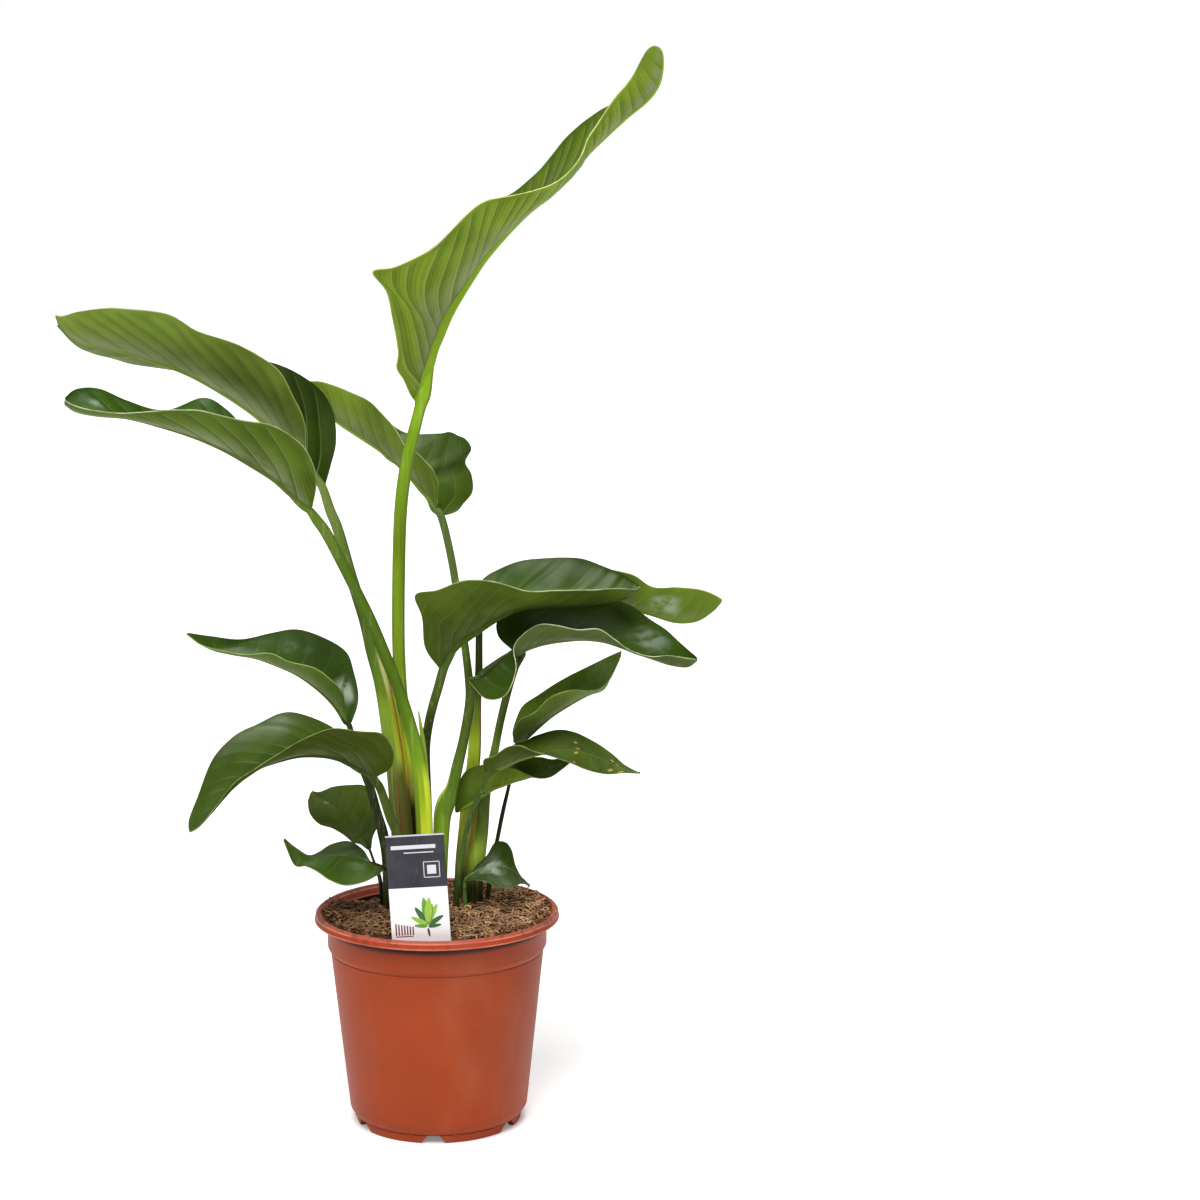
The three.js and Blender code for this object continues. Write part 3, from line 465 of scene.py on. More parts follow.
def soil_level(x, y):
    """Height of the soil, in millimetres, at this place."""
    level = SOIL_LEVEL
    for heap in HEAPS:
        away = (x - heap["middle"][0]) ** 2 + (y - heap["middle"][1]) ** 2
        level += heap["height"] * math.exp(-away / (2 * heap["spread"] ** 2))
    across = (x - LABEL_TRENCH["middle"][0]) / LABEL_TRENCH["width"]
    along = (y - LABEL_TRENCH["middle"][1]) / LABEL_TRENCH["depth"]
    level += LABEL_TRENCH["height"] * math.exp(-(across ** 4 + along ** 4))
    return level + 1.4 * noise.noise(Vector((x / 17, y / 17, 3)))


def lumps(x, y):
    """The crumbly relief on top of the level: clods, crumbs and grains."""
    clods = noise.noise(Vector((x / 5.2, y / 5.2, 1)))
    crumbs = abs(noise.noise(Vector((x / 2.4, y / 2.4, 5))))
    grains = noise.noise(Vector((x / 1.1, y / 1.1, 9)))
    return 1.8 * clods + 2.8 * crumbs + 0.6 * grains - 1.1


def pot_inside(level):
    """How wide the pot is inside at this height, where its wall flares out under the lip."""
    return 74.4 + 0.75 * min(max(level - 143.4, 0), 3.6) + 1.15 * min(max(level - 147.0, 0), 2.6)


bpy.ops.mesh.primitive_grid_add(x_subdivisions=SOIL_FACETS, y_subdivisions=SOIL_FACETS, size=2)
soil = bpy.context.object
soil.name = "potting_mix"
top_rings = SOIL_RINGS - len(SOIL_SIDE)
for point in soil.data.vertices:
    across = point.co.x * math.sqrt(1 - point.co.y ** 2 / 2)
    along = point.co.y * math.sqrt(1 - point.co.x ** 2 / 2)
    turn = math.atan2(along, across)
    ring = round(SOIL_RINGS * max(abs(point.co.x), abs(point.co.y)))
    if ring > top_rings:
        out, level = SOIL_SIDE[ring - top_rings - 1]
    else:
        edge = soil_level(SOIL_RADIUS * math.cos(turn), SOIL_RADIUS * math.sin(turn))
        out = pot_inside(edge) * ring / top_rings
        x, y = out * math.cos(turn), out * math.sin(turn)
        level = soil_level(x, y) + lumps(x, y) * min((top_rings - ring) / 3, 1)
        level = level if ring < top_rings else edge
    point.co = Vector((out * math.cos(turn), out * math.sin(turn), level)) * MM
only(soil)
bpy.ops.object.mode_set(mode="EDIT")
bpy.ops.mesh.select_all(action="SELECT")
bpy.ops.mesh.region_to_loop()
bpy.ops.mesh.edge_face_add()
bpy.ops.object.mode_set(mode="OBJECT")
face_outwards(soil)
bpy.ops.object.shade_smooth_by_angle(angle=math.radians(60))


def left_darkening(finish):
    """How much darker the mix is made on the left, fading out towards the right."""
    return (finish.coordinate(0) + finish.mottle(40, 2) * 0.06).rise(0.05, -0.01) * 0.5


# The bed is matt, in browns that change from grain to grain
DARK_COIR = srgb(22, 11, 6)
PALE_COIR = srgb(132, 72, 38)
coir = Finish("coir_bed", specular_ior_level=0.2, roughness=0.92)
grains = coir.node("TexVoronoi", None, {"Vector": coir.place(), "Scale": 380}, output="Color")
tone = coir.node("SeparateColor", None, {0: grains})
clouds = coir.mottle(55, 4, roughness=0.7)
coir.skin = coir.mix((tone * 0.6 + clouds * 0.5) ** 1.6, DARK_COIR, PALE_COIR)
coir.coat(left_darkening(coir), tinted(DARK_COIR, 1.2))
coir.set(base_color=coir.skin, normal=coir.relief(tone + clouds, 0.5 * MM))
soil.data.materials.append(coir.material)


def carry(mesh, attribute, values):
    """Writes one number for each point of the mesh, for the material to read."""
    mesh.attributes.new(attribute, "FLOAT", "POINT").data.foreach_set("value", values)


def new_piece(name, points, faces):
    """An object made of these points and faces."""
    mesh = bpy.data.meshes.new(name)
    mesh.from_pydata(points, [], faces)
    piece = bpy.data.objects.new(name, mesh)
    bpy.context.scene.collection.objects.link(piece)
    return piece


def scatter(count, spread):
    """Places on the soil within this many millimetres of the middle, as (x, y, height)."""
    places = []
    while len(places) < count:
        x, y = random.uniform(-79, 79), random.uniform(-79, 79)
        clear_of_label = abs(x + 6) > 26 or y > -64
        if math.hypot(x, y) < spread and clear_of_label:
            places.append((x, y, soil_level(x, y) + max(lumps(x, y), -0.6)))
    return places


def paleness_with_hollow_shade(x, y):
    """How pale the mix is here, clump by clump, with painted shade in the hollows between lumps."""
    clump = 0.74 + 0.8 * noise.noise(Vector((x / 6.5, y / 6.5, 20)))
    return min(max(clump + 0.25 * lumps(x, y), 0.12), 1)


def copied(pattern, name, placings):
    """One mesh holding a copy of the pattern's mesh at each placing, as one object."""
    pattern_points = [point.co.copy() for point in pattern.data.vertices]
    pattern_faces = [tuple(face.vertices) for face in pattern.data.polygons]
    bpy.data.objects.remove(pattern)
    points, faces, shades = [], [], []
    for placing, shade in placings:
        first = len(points)
        points += [placing @ point for point in pattern_points]
        faces += [tuple(first + corner for corner in face) for face in pattern_faces]
        shades += [shade] * len(pattern_points)
    piece = new_piece(name, points, faces)
    carry(piece.data, "shade", shades)
    return piece


def chip_pattern():
    """A broken flake of husk, one unit long."""
    bpy.ops.mesh.primitive_ico_sphere_add(subdivisions=1, radius=0.5)
    chip = bpy.context.object
    for point in chip.data.vertices:
        bent = 0.25 * noise.noise(point.co * 3.1)
        point.co = Vector((point.co.x, point.co.y * 0.3 + bent, point.co.z * 0.2 + bent * 0.5))
    return chip


def dropped(x, y, level, size, tilt):
    """Where a chip lands: its place in millimetres, turned any way and tilted this far at most."""
    place = Matrix.Translation(Vector((x, y, level)) * MM)
    lean = Matrix.Rotation(math.radians(random.uniform(-tilt, tilt)), 4, "Y")
    roll = Matrix.Rotation(math.radians(random.uniform(-tilt, tilt)), 4, "X")
    turned = Matrix.Rotation(random.uniform(0, math.tau), 4, "Z") @ lean @ roll
    return place @ turned @ Matrix.Scale(size * MM, 4)


placings = []
for x, y, level in scatter(3000, 80):
    size = 1.5 + 4.6 * random.random() ** 1.6
    shade = paleness_with_hollow_shade(x, y) * random.random() ** 1.4
    placings.append((dropped(x, y, level + size * 0.1, size, 60), shade))
chips = copied(chip_pattern(), "coir_chips", placings)


def strand_finish(name, dark, pale):
    """Husk and fibre: each one has a brown of its own, darker with painted shade in the hollows."""
    finish = Finish(name, specular_ior_level=0.25, roughness=0.85)
    clouds = finish.mottle(900, 2)
    finish.skin = finish.mix(finish.own("shade") * 0.85 + clouds * 0.3, srgb(*dark), srgb(*pale))
    finish.coat(left_darkening(finish), tinted(srgb(*dark), 1.1))
    finish.set(base_color=finish.skin, normal=finish.relief(clouds, 0.2 * MM))
    return finish.material


chips.data.materials.append(strand_finish("coir_husk", (34, 16, 8), (226, 164, 110)))

FIBRE_JOINTS = 9


def fibre_lines(count):
    """Curly hairs lying on the soil: each is a wandering line of a few points."""
    lines = []
    for x, y, _ in scatter(count, SOIL_RADIUS):
        bearing = random.uniform(0, math.tau)
        curl = random.gauss(0, 0.42)
        step = random.uniform(0.7, 1.9)
        lift = random.uniform(0.5, 2.4)
        line = []
        for i in range(FIBRE_JOINTS):
            arch = math.sin(math.pi * i / (FIBRE_JOINTS - 1)) * lift
            height = soil_level(x, y) + max(lumps(x, y), 0) * 0.7 + arch + 0.2
            line.append(Vector((x, y, height)) * MM)
            bearing += curl + random.gauss(0, 0.22)
            x += step * math.cos(bearing)
            y += step * math.sin(bearing)
            if math.hypot(x, y) > 78:
                break
        if len(line) > 3:
            shade = paleness_with_hollow_shade(x, y) * random.random() ** 0.7
            lines.append((line, random.uniform(0.2, 0.56) * MM, shade))
    return lines


def fibre_mesh(name, lines):
    """Three-sided hairs along the lines, thinner towards their ends."""
    points, faces, shades = [], [], []
    for line, thickness, shade in lines:
        first = len(points)
        last = len(line) - 1
        for i, place in enumerate(line):
            ahead = (line[min(i + 1, last)] - line[max(i - 1, 0)]).normalized()
            across = ahead.cross(Vector((0, 0, 1))).normalized()
            upward = across.cross(ahead)
            reach = thickness * (1 - 0.6 * abs(2 * i / last - 1) ** 3)
            for turn in (0, math.tau / 3, 2 * math.tau / 3):
                points.append(place + (across * math.cos(turn) + upward * math.sin(turn)) * reach)
            shades += [shade] * 3
        for i in range(last):
            for k in range(3):
                low, high = first + 3 * i, first + 3 * i + 3
                faces.append((low + k, low + (k + 1) % 3, high + (k + 1) % 3, high + k))
        end = first + 3 * last
        faces += [(first + 2, first + 1, first), (end, end + 1, end + 2)]
    piece = new_piece(name, points, faces)
    carry(piece.data, "shade", shades)
    face_outwards(piece)
    bpy.ops.object.shade_smooth()
    return piece


fibres = fibre_mesh("coir_fibres", fibre_lines(1500))
fibres.data.materials.append(strand_finish("coir_hair", (88, 48, 26), (238, 198, 150)))

# Crumbs spilt on the lip, thickest at the front on the right and at the right-hand end: each group
# has a direction, from the right, and a spread, both in degrees, and a count
CRUMB_GROUPS = [
    (-62, 20, 34), (-2, 12, 40), (-95, 60, 26), (180, 50, 22), (20, 25, 30), (-142, 22, 80),
]
LIP_TOP = 150.3
LIP_INSIDE = 150.0
LIP_CREST = 81.8

placings = []
for spot, spread, count in CRUMB_GROUPS:
    for i in range(count):
        turn = math.radians(random.gauss(spot, spread / 2))
        radius = random.uniform(79.5, 84.4)
        size = 0.8 + 1.9 * random.random() ** 2
        top = LIP_TOP if radius > LIP_CREST else LIP_INSIDE - (LIP_CREST - radius) * 0.8
        x, y = radius * math.cos(turn), radius * math.sin(turn)
        placings.append((dropped(x, y, top + size * 0.2, size, 40), random.random() ** 0.6))
crumbs = copied(chip_pattern(), "spilt_crumbs", placings)
crumbs.data.materials.append(chips.data.materials[0])

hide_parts("soil")
for piece in (soil, chips, fibres, crumbs):
    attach(piece, "root")


# Leaves: each is one thin leathery blade, folded along its midrib, on a long fleshy stalk that
# widens into a sheath at its foot. A blade is spanned from its midrib to its two edges, and a
# stalk is a flat sheet rolled into a tube around its middle line. Places are (x, y, z) in
# millimetres, and a stalk's also have its thickness there.
LEAVES = {
    "tallest_leaf": {
        "midrib": [
            (-10, 6, 498.5), (-8.5, 7, 506), (-7, 8, 514), (-5, 10, 522.5), (-2.5, 10, 530.5),
            (0, 12, 539), (4, 14, 548), (7.5, 14, 556), (12, 15, 565.5), (18, 16, 575.5),
            (24.5, 16, 585.5), (35, 16, 600.5), (52.5, 14, 620), (71.5, 12, 638), (90.5, 8, 656.5),
            (109.5, 4, 674.5), (129.5, 0, 692.5), (144.5, -3, 704.5), (152, -5, 714.5),
            (154.5, -6, 725), (154.5, -6, 733.5), (153, -6, 737.5), (151, -6, 739),
        ],
        "near": [
            (-11.5, 5, 504), (-15.5, -1, 510), (-19, -7, 519), (-23.5, -14, 528), (-22, -20, 540),
            (-24.5, -28, 562), (-27.5, -34, 579.5), (-36, -39, 593), (-20, -38, 596.5),
            (2, -36, 608), (18, -34, 623.5), (34.5, -34, 637.5), (58.5, -34, 643), (80.5, -34, 650),
            (98.5, -30, 664), (106, -24, 680.5), (119.5, -18, 702), (130.5, -15, 714.5),
            (136.5, -12, 723), (141, -10, 731.5), (144.5, -8, 737), (147.5, -7, 739),
            (149.5, -6, 739.5),
        ],
        "far": [
            (-7.5, 8, 501.5), (-6.5, 14, 512), (-6.5, 20, 522.5), (-6.5, 27, 537), (-6, 34, 550),
            (-7.5, 45, 571), (-6, 51, 581), (-2, 55, 590), (4.5, 56, 601), (13, 55, 612),
            (22.5, 54, 624), (38, 50, 637), (54.5, 44, 643.5), (73, 38, 658.5), (90.5, 32, 681),
            (108, 24, 694.5), (123, 16, 703), (137.5, 9, 711), (144, 4, 719), (148.5, 0, 729),
            (150.5, -3, 734.5), (150.5, -5, 738), (150.5, -6, 739.5),
        ],
        "stalk": [
            (-9, 6, 498, 8), (-14, 6, 479, 8.5), (-18.5, 6, 460, 9), (-23, 5, 423, 9),
            (-25, 4, 353.5, 9), (-24.5, 8, 310.5, 9), (-22.5, 13, 281.5, 9.5), (-20, 15, 255, 10.5),
            (-18, 16, 224, 11), (-15.5, 17, 188, 11.5), (-14.5, 18, 148.3, 11.5),
        ],
    },
    "high_left_leaf": {
        "midrib": [
            (-77.5, 12, 445.5), (-82, 14, 454.5), (-89, 16, 463), (-98, 17, 472), (-110, 18, 483),
            (-126, 17, 496.5), (-145.5, 16, 509.5), (-166.5, 13, 521.5), (-191.5, 9, 531.5),
            (-215, 5, 539), (-237.5, 2, 544), (-251, -2, 556.5),
        ],
        "near": [
            (-80.5, 10, 450.5), (-85, -4, 470), (-84.5, -16, 489.5), (-91, -22, 507.5),
            (-102.5, -24, 528.5), (-126, -24, 544), (-153, -22, 552.5), (-177, -18, 564.5),
            (-208, -16, 568), (-230, -14, 566), (-245.5, -10, 562.5), (-252, -4, 562.5),
        ],
        "far": [
            (-75, 14, 444), (-71.5, 24, 458), (-68.5, 34, 473.5), (-71, 42, 493), (-81.5, 46, 509),
            (-105, 48, 523.5), (-133, 46, 530.5), (-164, 42, 527.5), (-197, 34, 525.5),
            (-220, 24, 532), (-240, 12, 540), (-252, 0, 555),
        ],
        "stalk": [
            (-76, 12, 443, 6), (-71.5, 12, 428.5, 7), (-66, 12, 414, 7.5), (-57.5, 12, 382, 8),
            (-48.5, 11, 352, 8.5), (-43, 9, 331.5, 10.5), (-37.5, 6, 313, 11.5),
            (-33.5, 3, 295.5, 13), (-30.5, 1, 276.5, 14), (-27, 0, 249, 14.5), (-24, 1, 203.5, 15),
            (-21, 3, 148.3, 14.5),
        ],
    },
    "near_left_leaf": {
        "midrib": [
            (-81.5, -30, 434.5), (-87.5, -31, 439.5), (-94.5, -32, 446.5), (-104, -34, 455.5),
            (-117.5, -36, 464.5), (-136, -38, 475.5), (-156, -40, 484.5), (-179.5, -41, 492),
            (-200, -41, 497), (-220, -40, 498.5), (-234, -38, 501), (-241.5, -36, 505.5),
        ],
        "near": [
            (-79, -32, 437), (-75, -44, 453), (-75.5, -56, 468), (-83, -64, 482),
            (-101, -68, 494.5), (-123.5, -70, 499.5), (-150, -70, 505), (-175.5, -66, 504),
            (-200, -60, 502.5), (-220.5, -54, 503.5), (-234, -46, 506), (-241, -38, 508.5),
        ],
        "far": [
            (-82.5, -28, 436.5), (-86.5, -24, 448), (-93.5, -20, 459.5), (-104.5, -16, 471.5),
            (-121, -12, 482), (-138.5, -8, 499.5), (-154, -8, 507.5), (-180, -10, 499),
            (-203, -14, 505), (-221, -20, 514.5), (-235, -26, 515), (-241.5, -34, 510),
        ],
        "stalk": [
            (-81, -30, 433.5, 5.5), (-76.5, -29, 427, 7), (-71, -28, 419, 7.5),
            (-64, -26, 405, 7.5), (-52.5, -23, 380.5, 7.5), (-42, -20, 357.5, 7.5),
            (-33, -17, 333.5, 8), (-23.5, -15, 307, 8.5), (-16.5, -13, 282.5, 9),
            (-11, -12, 258, 10.5), (-8.5, -11, 230.5, 11.5), (-7.5, -8, 194, 11.5),
            (-7.5, -4, 148.3, 11.5),
        ],
    },
    "back_leaf": {
        "midrib": [
            (1.5, 40, 423.5), (-1.5, 41, 426.5), (-4, 42, 431), (-7, 44, 435), (-10.5, 45, 438.5),
            (-14, 46, 442.5), (-18, 48, 447), (-22.5, 50, 451), (-27.5, 52, 456), (-34, 54, 460),
            (-40, 57, 465), (-54.5, 63, 473.5), (-69, 69, 482), (-83.5, 74, 492.5), (-95, 78, 502),
            (-101.5, 80, 506),
        ],
        "near": [
            (0, 39, 427), (1, 36, 435), (2, 32, 443), (0.5, 29, 449), (-2, 26, 455),
            (-6, 25, 459.5), (-10, 24, 464), (-15, 25, 468), (-20.5, 26, 471.5), (-25, 30, 479.5),
            (-30.5, 34, 486.5), (-45.5, 48, 499), (-63, 60, 506), (-80.5, 68, 511.5),
            (-94.5, 74, 511), (-102, 79, 507.5),
        ],
        "far": [
            (4.5, 42, 420.5), (13.5, 49, 423), (18, 56, 427.5), (24, 64, 435), (23, 73, 446),
            (18.5, 80, 454), (22.5, 80, 463), (18.5, 85, 469), (13, 86, 471.5), (6.5, 87, 474),
            (-2, 88, 473), (-25.5, 90, 474.5), (-48, 90, 491), (-70.5, 88, 501), (-87, 86, 505.5),
            (-100, 82, 507.5),
        ],
        "stalk": [
            (3, 39, 420.5, 5.5), (8.5, 38, 398.5, 5.5), (13, 35, 373.5, 5.5), (19, 26, 335, 5.5),
            (22.5, 16, 310.5, 6), (23.5, 9, 295, 7), (19.5, 3, 271, 7), (15, 0, 252, 8),
            (11.5, -2, 237.5, 9), (7.5, -2, 227.5, 13), (4.5, -1, 217.5, 12.5),
            (3.5, -1, 205, 11.5), (2, 2, 177.5, 11), (1, 6, 148.3, 11),
        ],
    },
    "side_left_leaf": {
        "midrib": [
            (-60, 4, 280), (-63.5, 4, 285), (-70, 3, 295), (-79.5, 2, 305), (-93.5, 0, 316),
            (-107.5, -2, 323), (-121.5, -4, 328.5), (-135.5, -6, 331.5), (-149, -8, 334.5),
            (-160, -10, 340), (-168, -11, 346.5),
        ],
        "near": [
            (-61.5, 2, 283), (-61.5, -6, 295.5), (-62, -14, 306), (-69, -20, 315.5),
            (-81, -24, 325.5), (-97.5, -25, 330.5), (-109.5, -24, 335.5), (-126.5, -20, 334),
            (-144.5, -14, 335.5), (-159.5, -11, 339.5), (-168.5, -11, 347.5),
        ],
        "far": [
            (-58, 6, 281.5), (-54.5, 10, 292), (-54, 14, 301), (-57, 18, 314.5), (-62, 20, 327.5),
            (-75.5, 20, 337), (-95.5, 18, 344.5), (-114, 12, 343), (-134, 4, 340),
            (-152.5, -4, 343.5), (-167.5, -10, 347),
        ],
        "stalk": [
            (-59.5, 4, 279, 4), (-56, 5, 263.5, 4), (-51.5, 6, 249, 5), (-46, 6, 235, 6),
            (-41.5, 5, 218, 6.5), (-37.5, 5, 202.5, 7.5), (-35, 7, 183, 7.5),
            (-34.5, 10, 148.3, 7.5),
        ],
    },
    "drooping_leaf": {
        "midrib": [
            (-44.5, -34, 256), (-50, -36, 259), (-56, -38, 262.5), (-63.5, -40, 266.5),
            (-74, -42, 269), (-89, -45, 269.5), (-103.5, -48, 266.5), (-118, -51, 261.5),
            (-131, -54, 253.5), (-141.5, -57, 242), (-150.5, -59, 231), (-157.5, -61, 223),
            (-162, -62, 220.5),
        ],
        "near": [
            (-37, -38, 253.5), (-27, -50, 262.5), (-24.5, -60, 275.5), (-31, -68, 289),
            (-47, -72, 291.5), (-63, -74, 293.5), (-81.5, -74, 287.5), (-99, -72, 278),
            (-115.5, -68, 266.5), (-129.5, -66, 256), (-143.5, -64, 239), (-154, -63, 226),
            (-161, -63, 221),
        ],
        "far": [
            (-45.5, -31, 256.5), (-47.5, -24, 264), (-52, -18, 268.5), (-60.5, -14, 273),
            (-70, -12, 282.5), (-82.5, -12, 288.5), (-101, -14, 292.5), (-120, -18, 285),
            (-136.5, -24, 277.5), (-150.5, -32, 262.5), (-159.5, -42, 239), (-163.5, -52, 227),
            (-163, -59, 221.5),
        ],
        "stalk": [
            (-43, -34, 254, 6), (-39, -31, 247.5, 6), (-36, -28, 241.5, 6),
            (-30.5, -22, 221.5, 6.5), (-26, -18, 208, 7), (-23, -14, 188.5, 7.5),
            (-21.5, -14, 148.3, 7.5),
        ],
    },
    "small_left_leaf": {
        "midrib": [
            (-48, 22, 186.5), (-50, 22, 191.5), (-54, 22, 197), (-58.5, 21, 202.5),
            (-63, 20, 209.5), (-67.5, 18, 215), (-73, 16, 220.5), (-79.5, 13, 225.5),
            (-85, 11, 229), (-87, 10, 231),
        ],
        "near": [
            (-49.5, 21, 187), (-54, 16, 192.5), (-59, 12, 195), (-65, 9, 201), (-73, 8, 206),
            (-82, 8, 209), (-88, 9, 215.5), (-89.5, 9, 223.5), (-88.5, 10, 228), (-87.5, 10, 230.5),
        ],
        "far": [
            (-47.5, 22, 188), (-46, 24, 196), (-43, 26, 203), (-43.5, 28, 212.5),
            (-45.5, 29, 224.5), (-52, 28, 231.5), (-62.5, 25, 232.5), (-73, 19, 232.5),
            (-81.5, 13, 230), (-86.5, 10, 231.5),
        ],
        "stalk": [
            (-48, 22, 186, 2), (-45.5, 21, 179, 2), (-41, 19, 165.5, 3), (-39, 19, 148.3, 3),
        ],
    },
    "lowest_left_leaf": {
        "midrib": [
            (-36, -2, 180), (-41, -4, 183), (-48.5, -6, 186.5), (-57.5, -9, 190),
            (-67.5, -12, 191.5), (-78, -15, 191.5), (-86.5, -18, 192), (-94, -20, 197.5),
            (-99, -22, 202), (-103, -23, 206),
        ],
        "near": [
            (-36.5, -4, 179), (-40.5, -14, 178), (-50, -22, 175), (-61.5, -26, 174),
            (-72, -28, 178.5), (-81, -28, 185), (-88, -27, 188), (-95.5, -25, 187.5),
            (-100.5, -24, 197.5), (-103, -24, 205),
        ],
        "far": [
            (-37, 0, 180), (-46, 10, 181), (-52.5, 18, 188), (-62.5, 22, 193), (-74.5, 20, 191),
            (-82.5, 10, 188), (-88.5, -2, 189), (-94.5, -14, 196.5), (-99, -20, 202),
            (-102.5, -22, 206),
        ],
        "stalk": [
            (-35, -2, 178.5, 3), (-34, -3, 173, 3), (-34, -4, 164.5, 3), (-34, -5, 148.3, 3),
        ],
    },
    "near_right_leaf": {
        "midrib": [
            (6.5, -8, 323.5), (10, -10, 331), (13.5, -12, 336), (18, -14, 340.5),
            (23.5, -15, 344.5), (32, -16, 350.5), (45, -18, 359), (60, -18, 365.5),
            (77.5, -18, 367), (98.5, -16, 367.5), (117.5, -14, 369), (131, -12, 371.5),
            (138.5, -12, 377), (140.5, -12, 379),
        ],
        "near": [
            (3.5, -10, 322.5), (-5, -26, 340), (-6, -38, 362), (-10, -44, 378.5), (5.5, -48, 382.5),
            (23, -50, 389.5), (43, -52, 389.5), (63, -56, 384.5), (79.5, -56, 383), (98, -52, 383),
            (115.5, -42, 383), (129, -28, 380.5), (137, -16, 378), (140, -12, 379),
        ],
        "far": [
            (8.5, -6, 326), (16, 2, 338.5), (19, 8, 350), (20.5, 12, 363), (23, 14, 371.5),
            (32, 16, 379), (41, 18, 385), (59.5, 18, 392.5), (78.5, 17, 395), (97.5, 14, 395),
            (114, 8, 390.5), (127.5, -1, 386.5), (137, -8, 381.5), (140.5, -11, 379.5),
        ],
        "stalk": [
            (6.5, -8, 322, 6.5), (2.5, -4, 308, 6.5), (-1.5, 0, 294.5, 6.5), (-5, 6, 280, 6.5),
            (-7.5, 13, 264, 6.5), (-8, 18, 248.5, 6.5), (-7.5, 22, 222.5, 6.5), (-7, 24, 186, 7),
            (-6.5, 25, 148.3, 7),
        ],
    },
    "far_right_leaf": {
        "midrib": [
            (33, 24, 361), (44, 32, 365.5), (61, 40, 368.5), (80.5, 46, 368), (99.5, 49, 364),
            (115.5, 50, 360), (133, 49, 354.5), (150, 46, 350), (166.5, 43, 345.5), (181, 40, 347),
            (192, 37, 354.5), (197.5, 35, 361),
        ],
        "near": [
            (31.5, 23, 361.5), (40.5, 25, 375), (58.5, 26, 382.5), (79.5, 26, 385.5),
            (99.5, 26, 386), (117.5, 27, 385.5), (135.5, 28, 381), (150, 30, 372.5), (166, 32, 372),
            (183, 33, 370), (193.5, 34, 366), (198.5, 34, 363),
        ],
        "far": [
            (35, 26, 361.5), (43.5, 42, 371), (62.5, 58, 376.5), (82.5, 70, 377.5), (102, 74, 374),
            (120.5, 74, 370), (137.5, 70, 363.5), (153, 62, 360), (169.5, 54, 359),
            (183.5, 46, 360.5), (193, 40, 361.5), (198, 36, 361.5),
        ],
        "stalk": [
            (33, 24, 360.5, 4), (30.5, 24, 351.5, 5), (29.5, 25, 340.5, 5), (29, 26, 312, 5.5),
            (27.5, 27, 291.5, 6.5), (26, 27, 264.5, 9), (24.5, 27, 245.5, 9.5), (21, 27, 225, 9.5),
            (18, 27, 199.5, 8.5), (15.5, 27, 174.5, 8.5), (14, 28, 148.3, 8.5),
        ],
    },
    "broad_right_leaf": {
        "midrib": [
            (24, -26, 318.5), (34, -26, 322), (44.5, -25, 330.5), (52.5, -23, 336.5),
            (57.5, -20, 335), (64.5, -21, 338.5), (75, -22, 342), (87.5, -22, 344), (102, -22, 345),
            (115.5, -22, 343.5), (126.5, -22, 340), (138, -22, 335.5), (149.5, -23, 331.5),
            (161, -25, 328), (172.5, -27, 327), (179, -28, 331.5),
        ],
        "near": [
            (25.5, -27, 315.5), (36.5, -32, 305.5), (49.5, -36, 309), (56.5, -38, 326.5),
            (55, -36, 341), (61, -42, 351.5), (71.5, -46, 359), (84, -48, 359), (98, -48, 355.5),
            (112, -46, 356), (123, -40, 348.5), (134.5, -34, 339.5), (148, -30, 334.5),
            (159.5, -30, 335), (171, -30, 333.5), (177.5, -29, 332.5),
        ],
        "far": [
            (24, -23, 318), (34, -23, 322), (44, -22, 330.5), (52.5, -20, 336.5),
            (53.5, -14, 335.5), (43.5, -4, 344.5), (45, 4, 355.5), (65, 14, 363), (91.5, 18, 365.5),
            (115, 18, 366.5), (132.5, 14, 362.5), (147, 6, 354), (158.5, -2, 348),
            (168, -10, 340.5), (174.5, -18, 335.5), (178.5, -26, 333),
        ],
        "stalk": [
            (59.5, -17, 334.5, 5), (55.5, -13, 323, 5), (50.5, -6, 306.5, 5.5),
            (44.5, 6, 281.5, 5.5), (39.5, 17, 256.5, 6), (35, 19, 241, 7.5), (31.5, 18, 225.5, 11),
            (29, 17, 202, 13), (26, 17, 179, 14), (23.5, 18, 148.3, 13),
        ],
    },
    "upright_right_leaf": {
        "midrib": [
            (56, 12, 264.5), (62, 9, 269.5), (70.5, 6, 278), (80.5, 3, 287), (93, 0, 295.5),
            (105, -2, 302.5), (115.5, -4, 307), (120.5, -5, 316.5), (126, -5, 327),
            (127.5, -5, 333),
        ],
        "near": [
            (53.5, 10, 267), (54, -2, 277), (58.5, -12, 287), (69, -20, 294.5), (79, -24, 304.5),
            (93, -24, 309.5), (108, -16, 308), (118, -9, 312), (124.5, -6, 324), (127.5, -5, 331.5),
        ],
        "far": [
            (54.5, 14, 265.5), (52.5, 17, 271.5), (55.5, 20, 281.5), (60.5, 22, 290.5),
            (71.5, 23, 298.5), (87.5, 22, 308.5), (106, 16, 319), (118, 8, 326.5), (125, 2, 331),
            (127, -4, 333),
        ],
        "stalk": [
            (55.5, 12, 263.5, 3), (53.5, 14, 255, 3), (52, 15, 245.5, 3), (50, 16, 234.5, 2.5),
            (45.5, 17, 215, 3), (41.5, 19, 195, 3), (37, 22, 173.5, 3.5), (33, 26, 148.3, 3.5),
        ],
    },
    "pointed_right_leaf": {
        "midrib": [
            (36, -14, 250), (41.5, -14, 252), (48.5, -14, 255.5), (56, -14, 259), (64, -15, 262),
            (73, -16, 264.5), (83.5, -17, 266.5), (97, -18, 266.5), (111.5, -19, 262.5),
            (123.5, -20, 257), (133, -21, 253.5), (141, -22, 252),
        ],
        "near": [
            (35, -15, 250.5), (34, -22, 261), (41.5, -28, 265.5), (50.5, -32, 272.5),
            (59.5, -36, 274.5), (68, -39, 271.5), (79.5, -40, 268), (90.5, -38, 263.5),
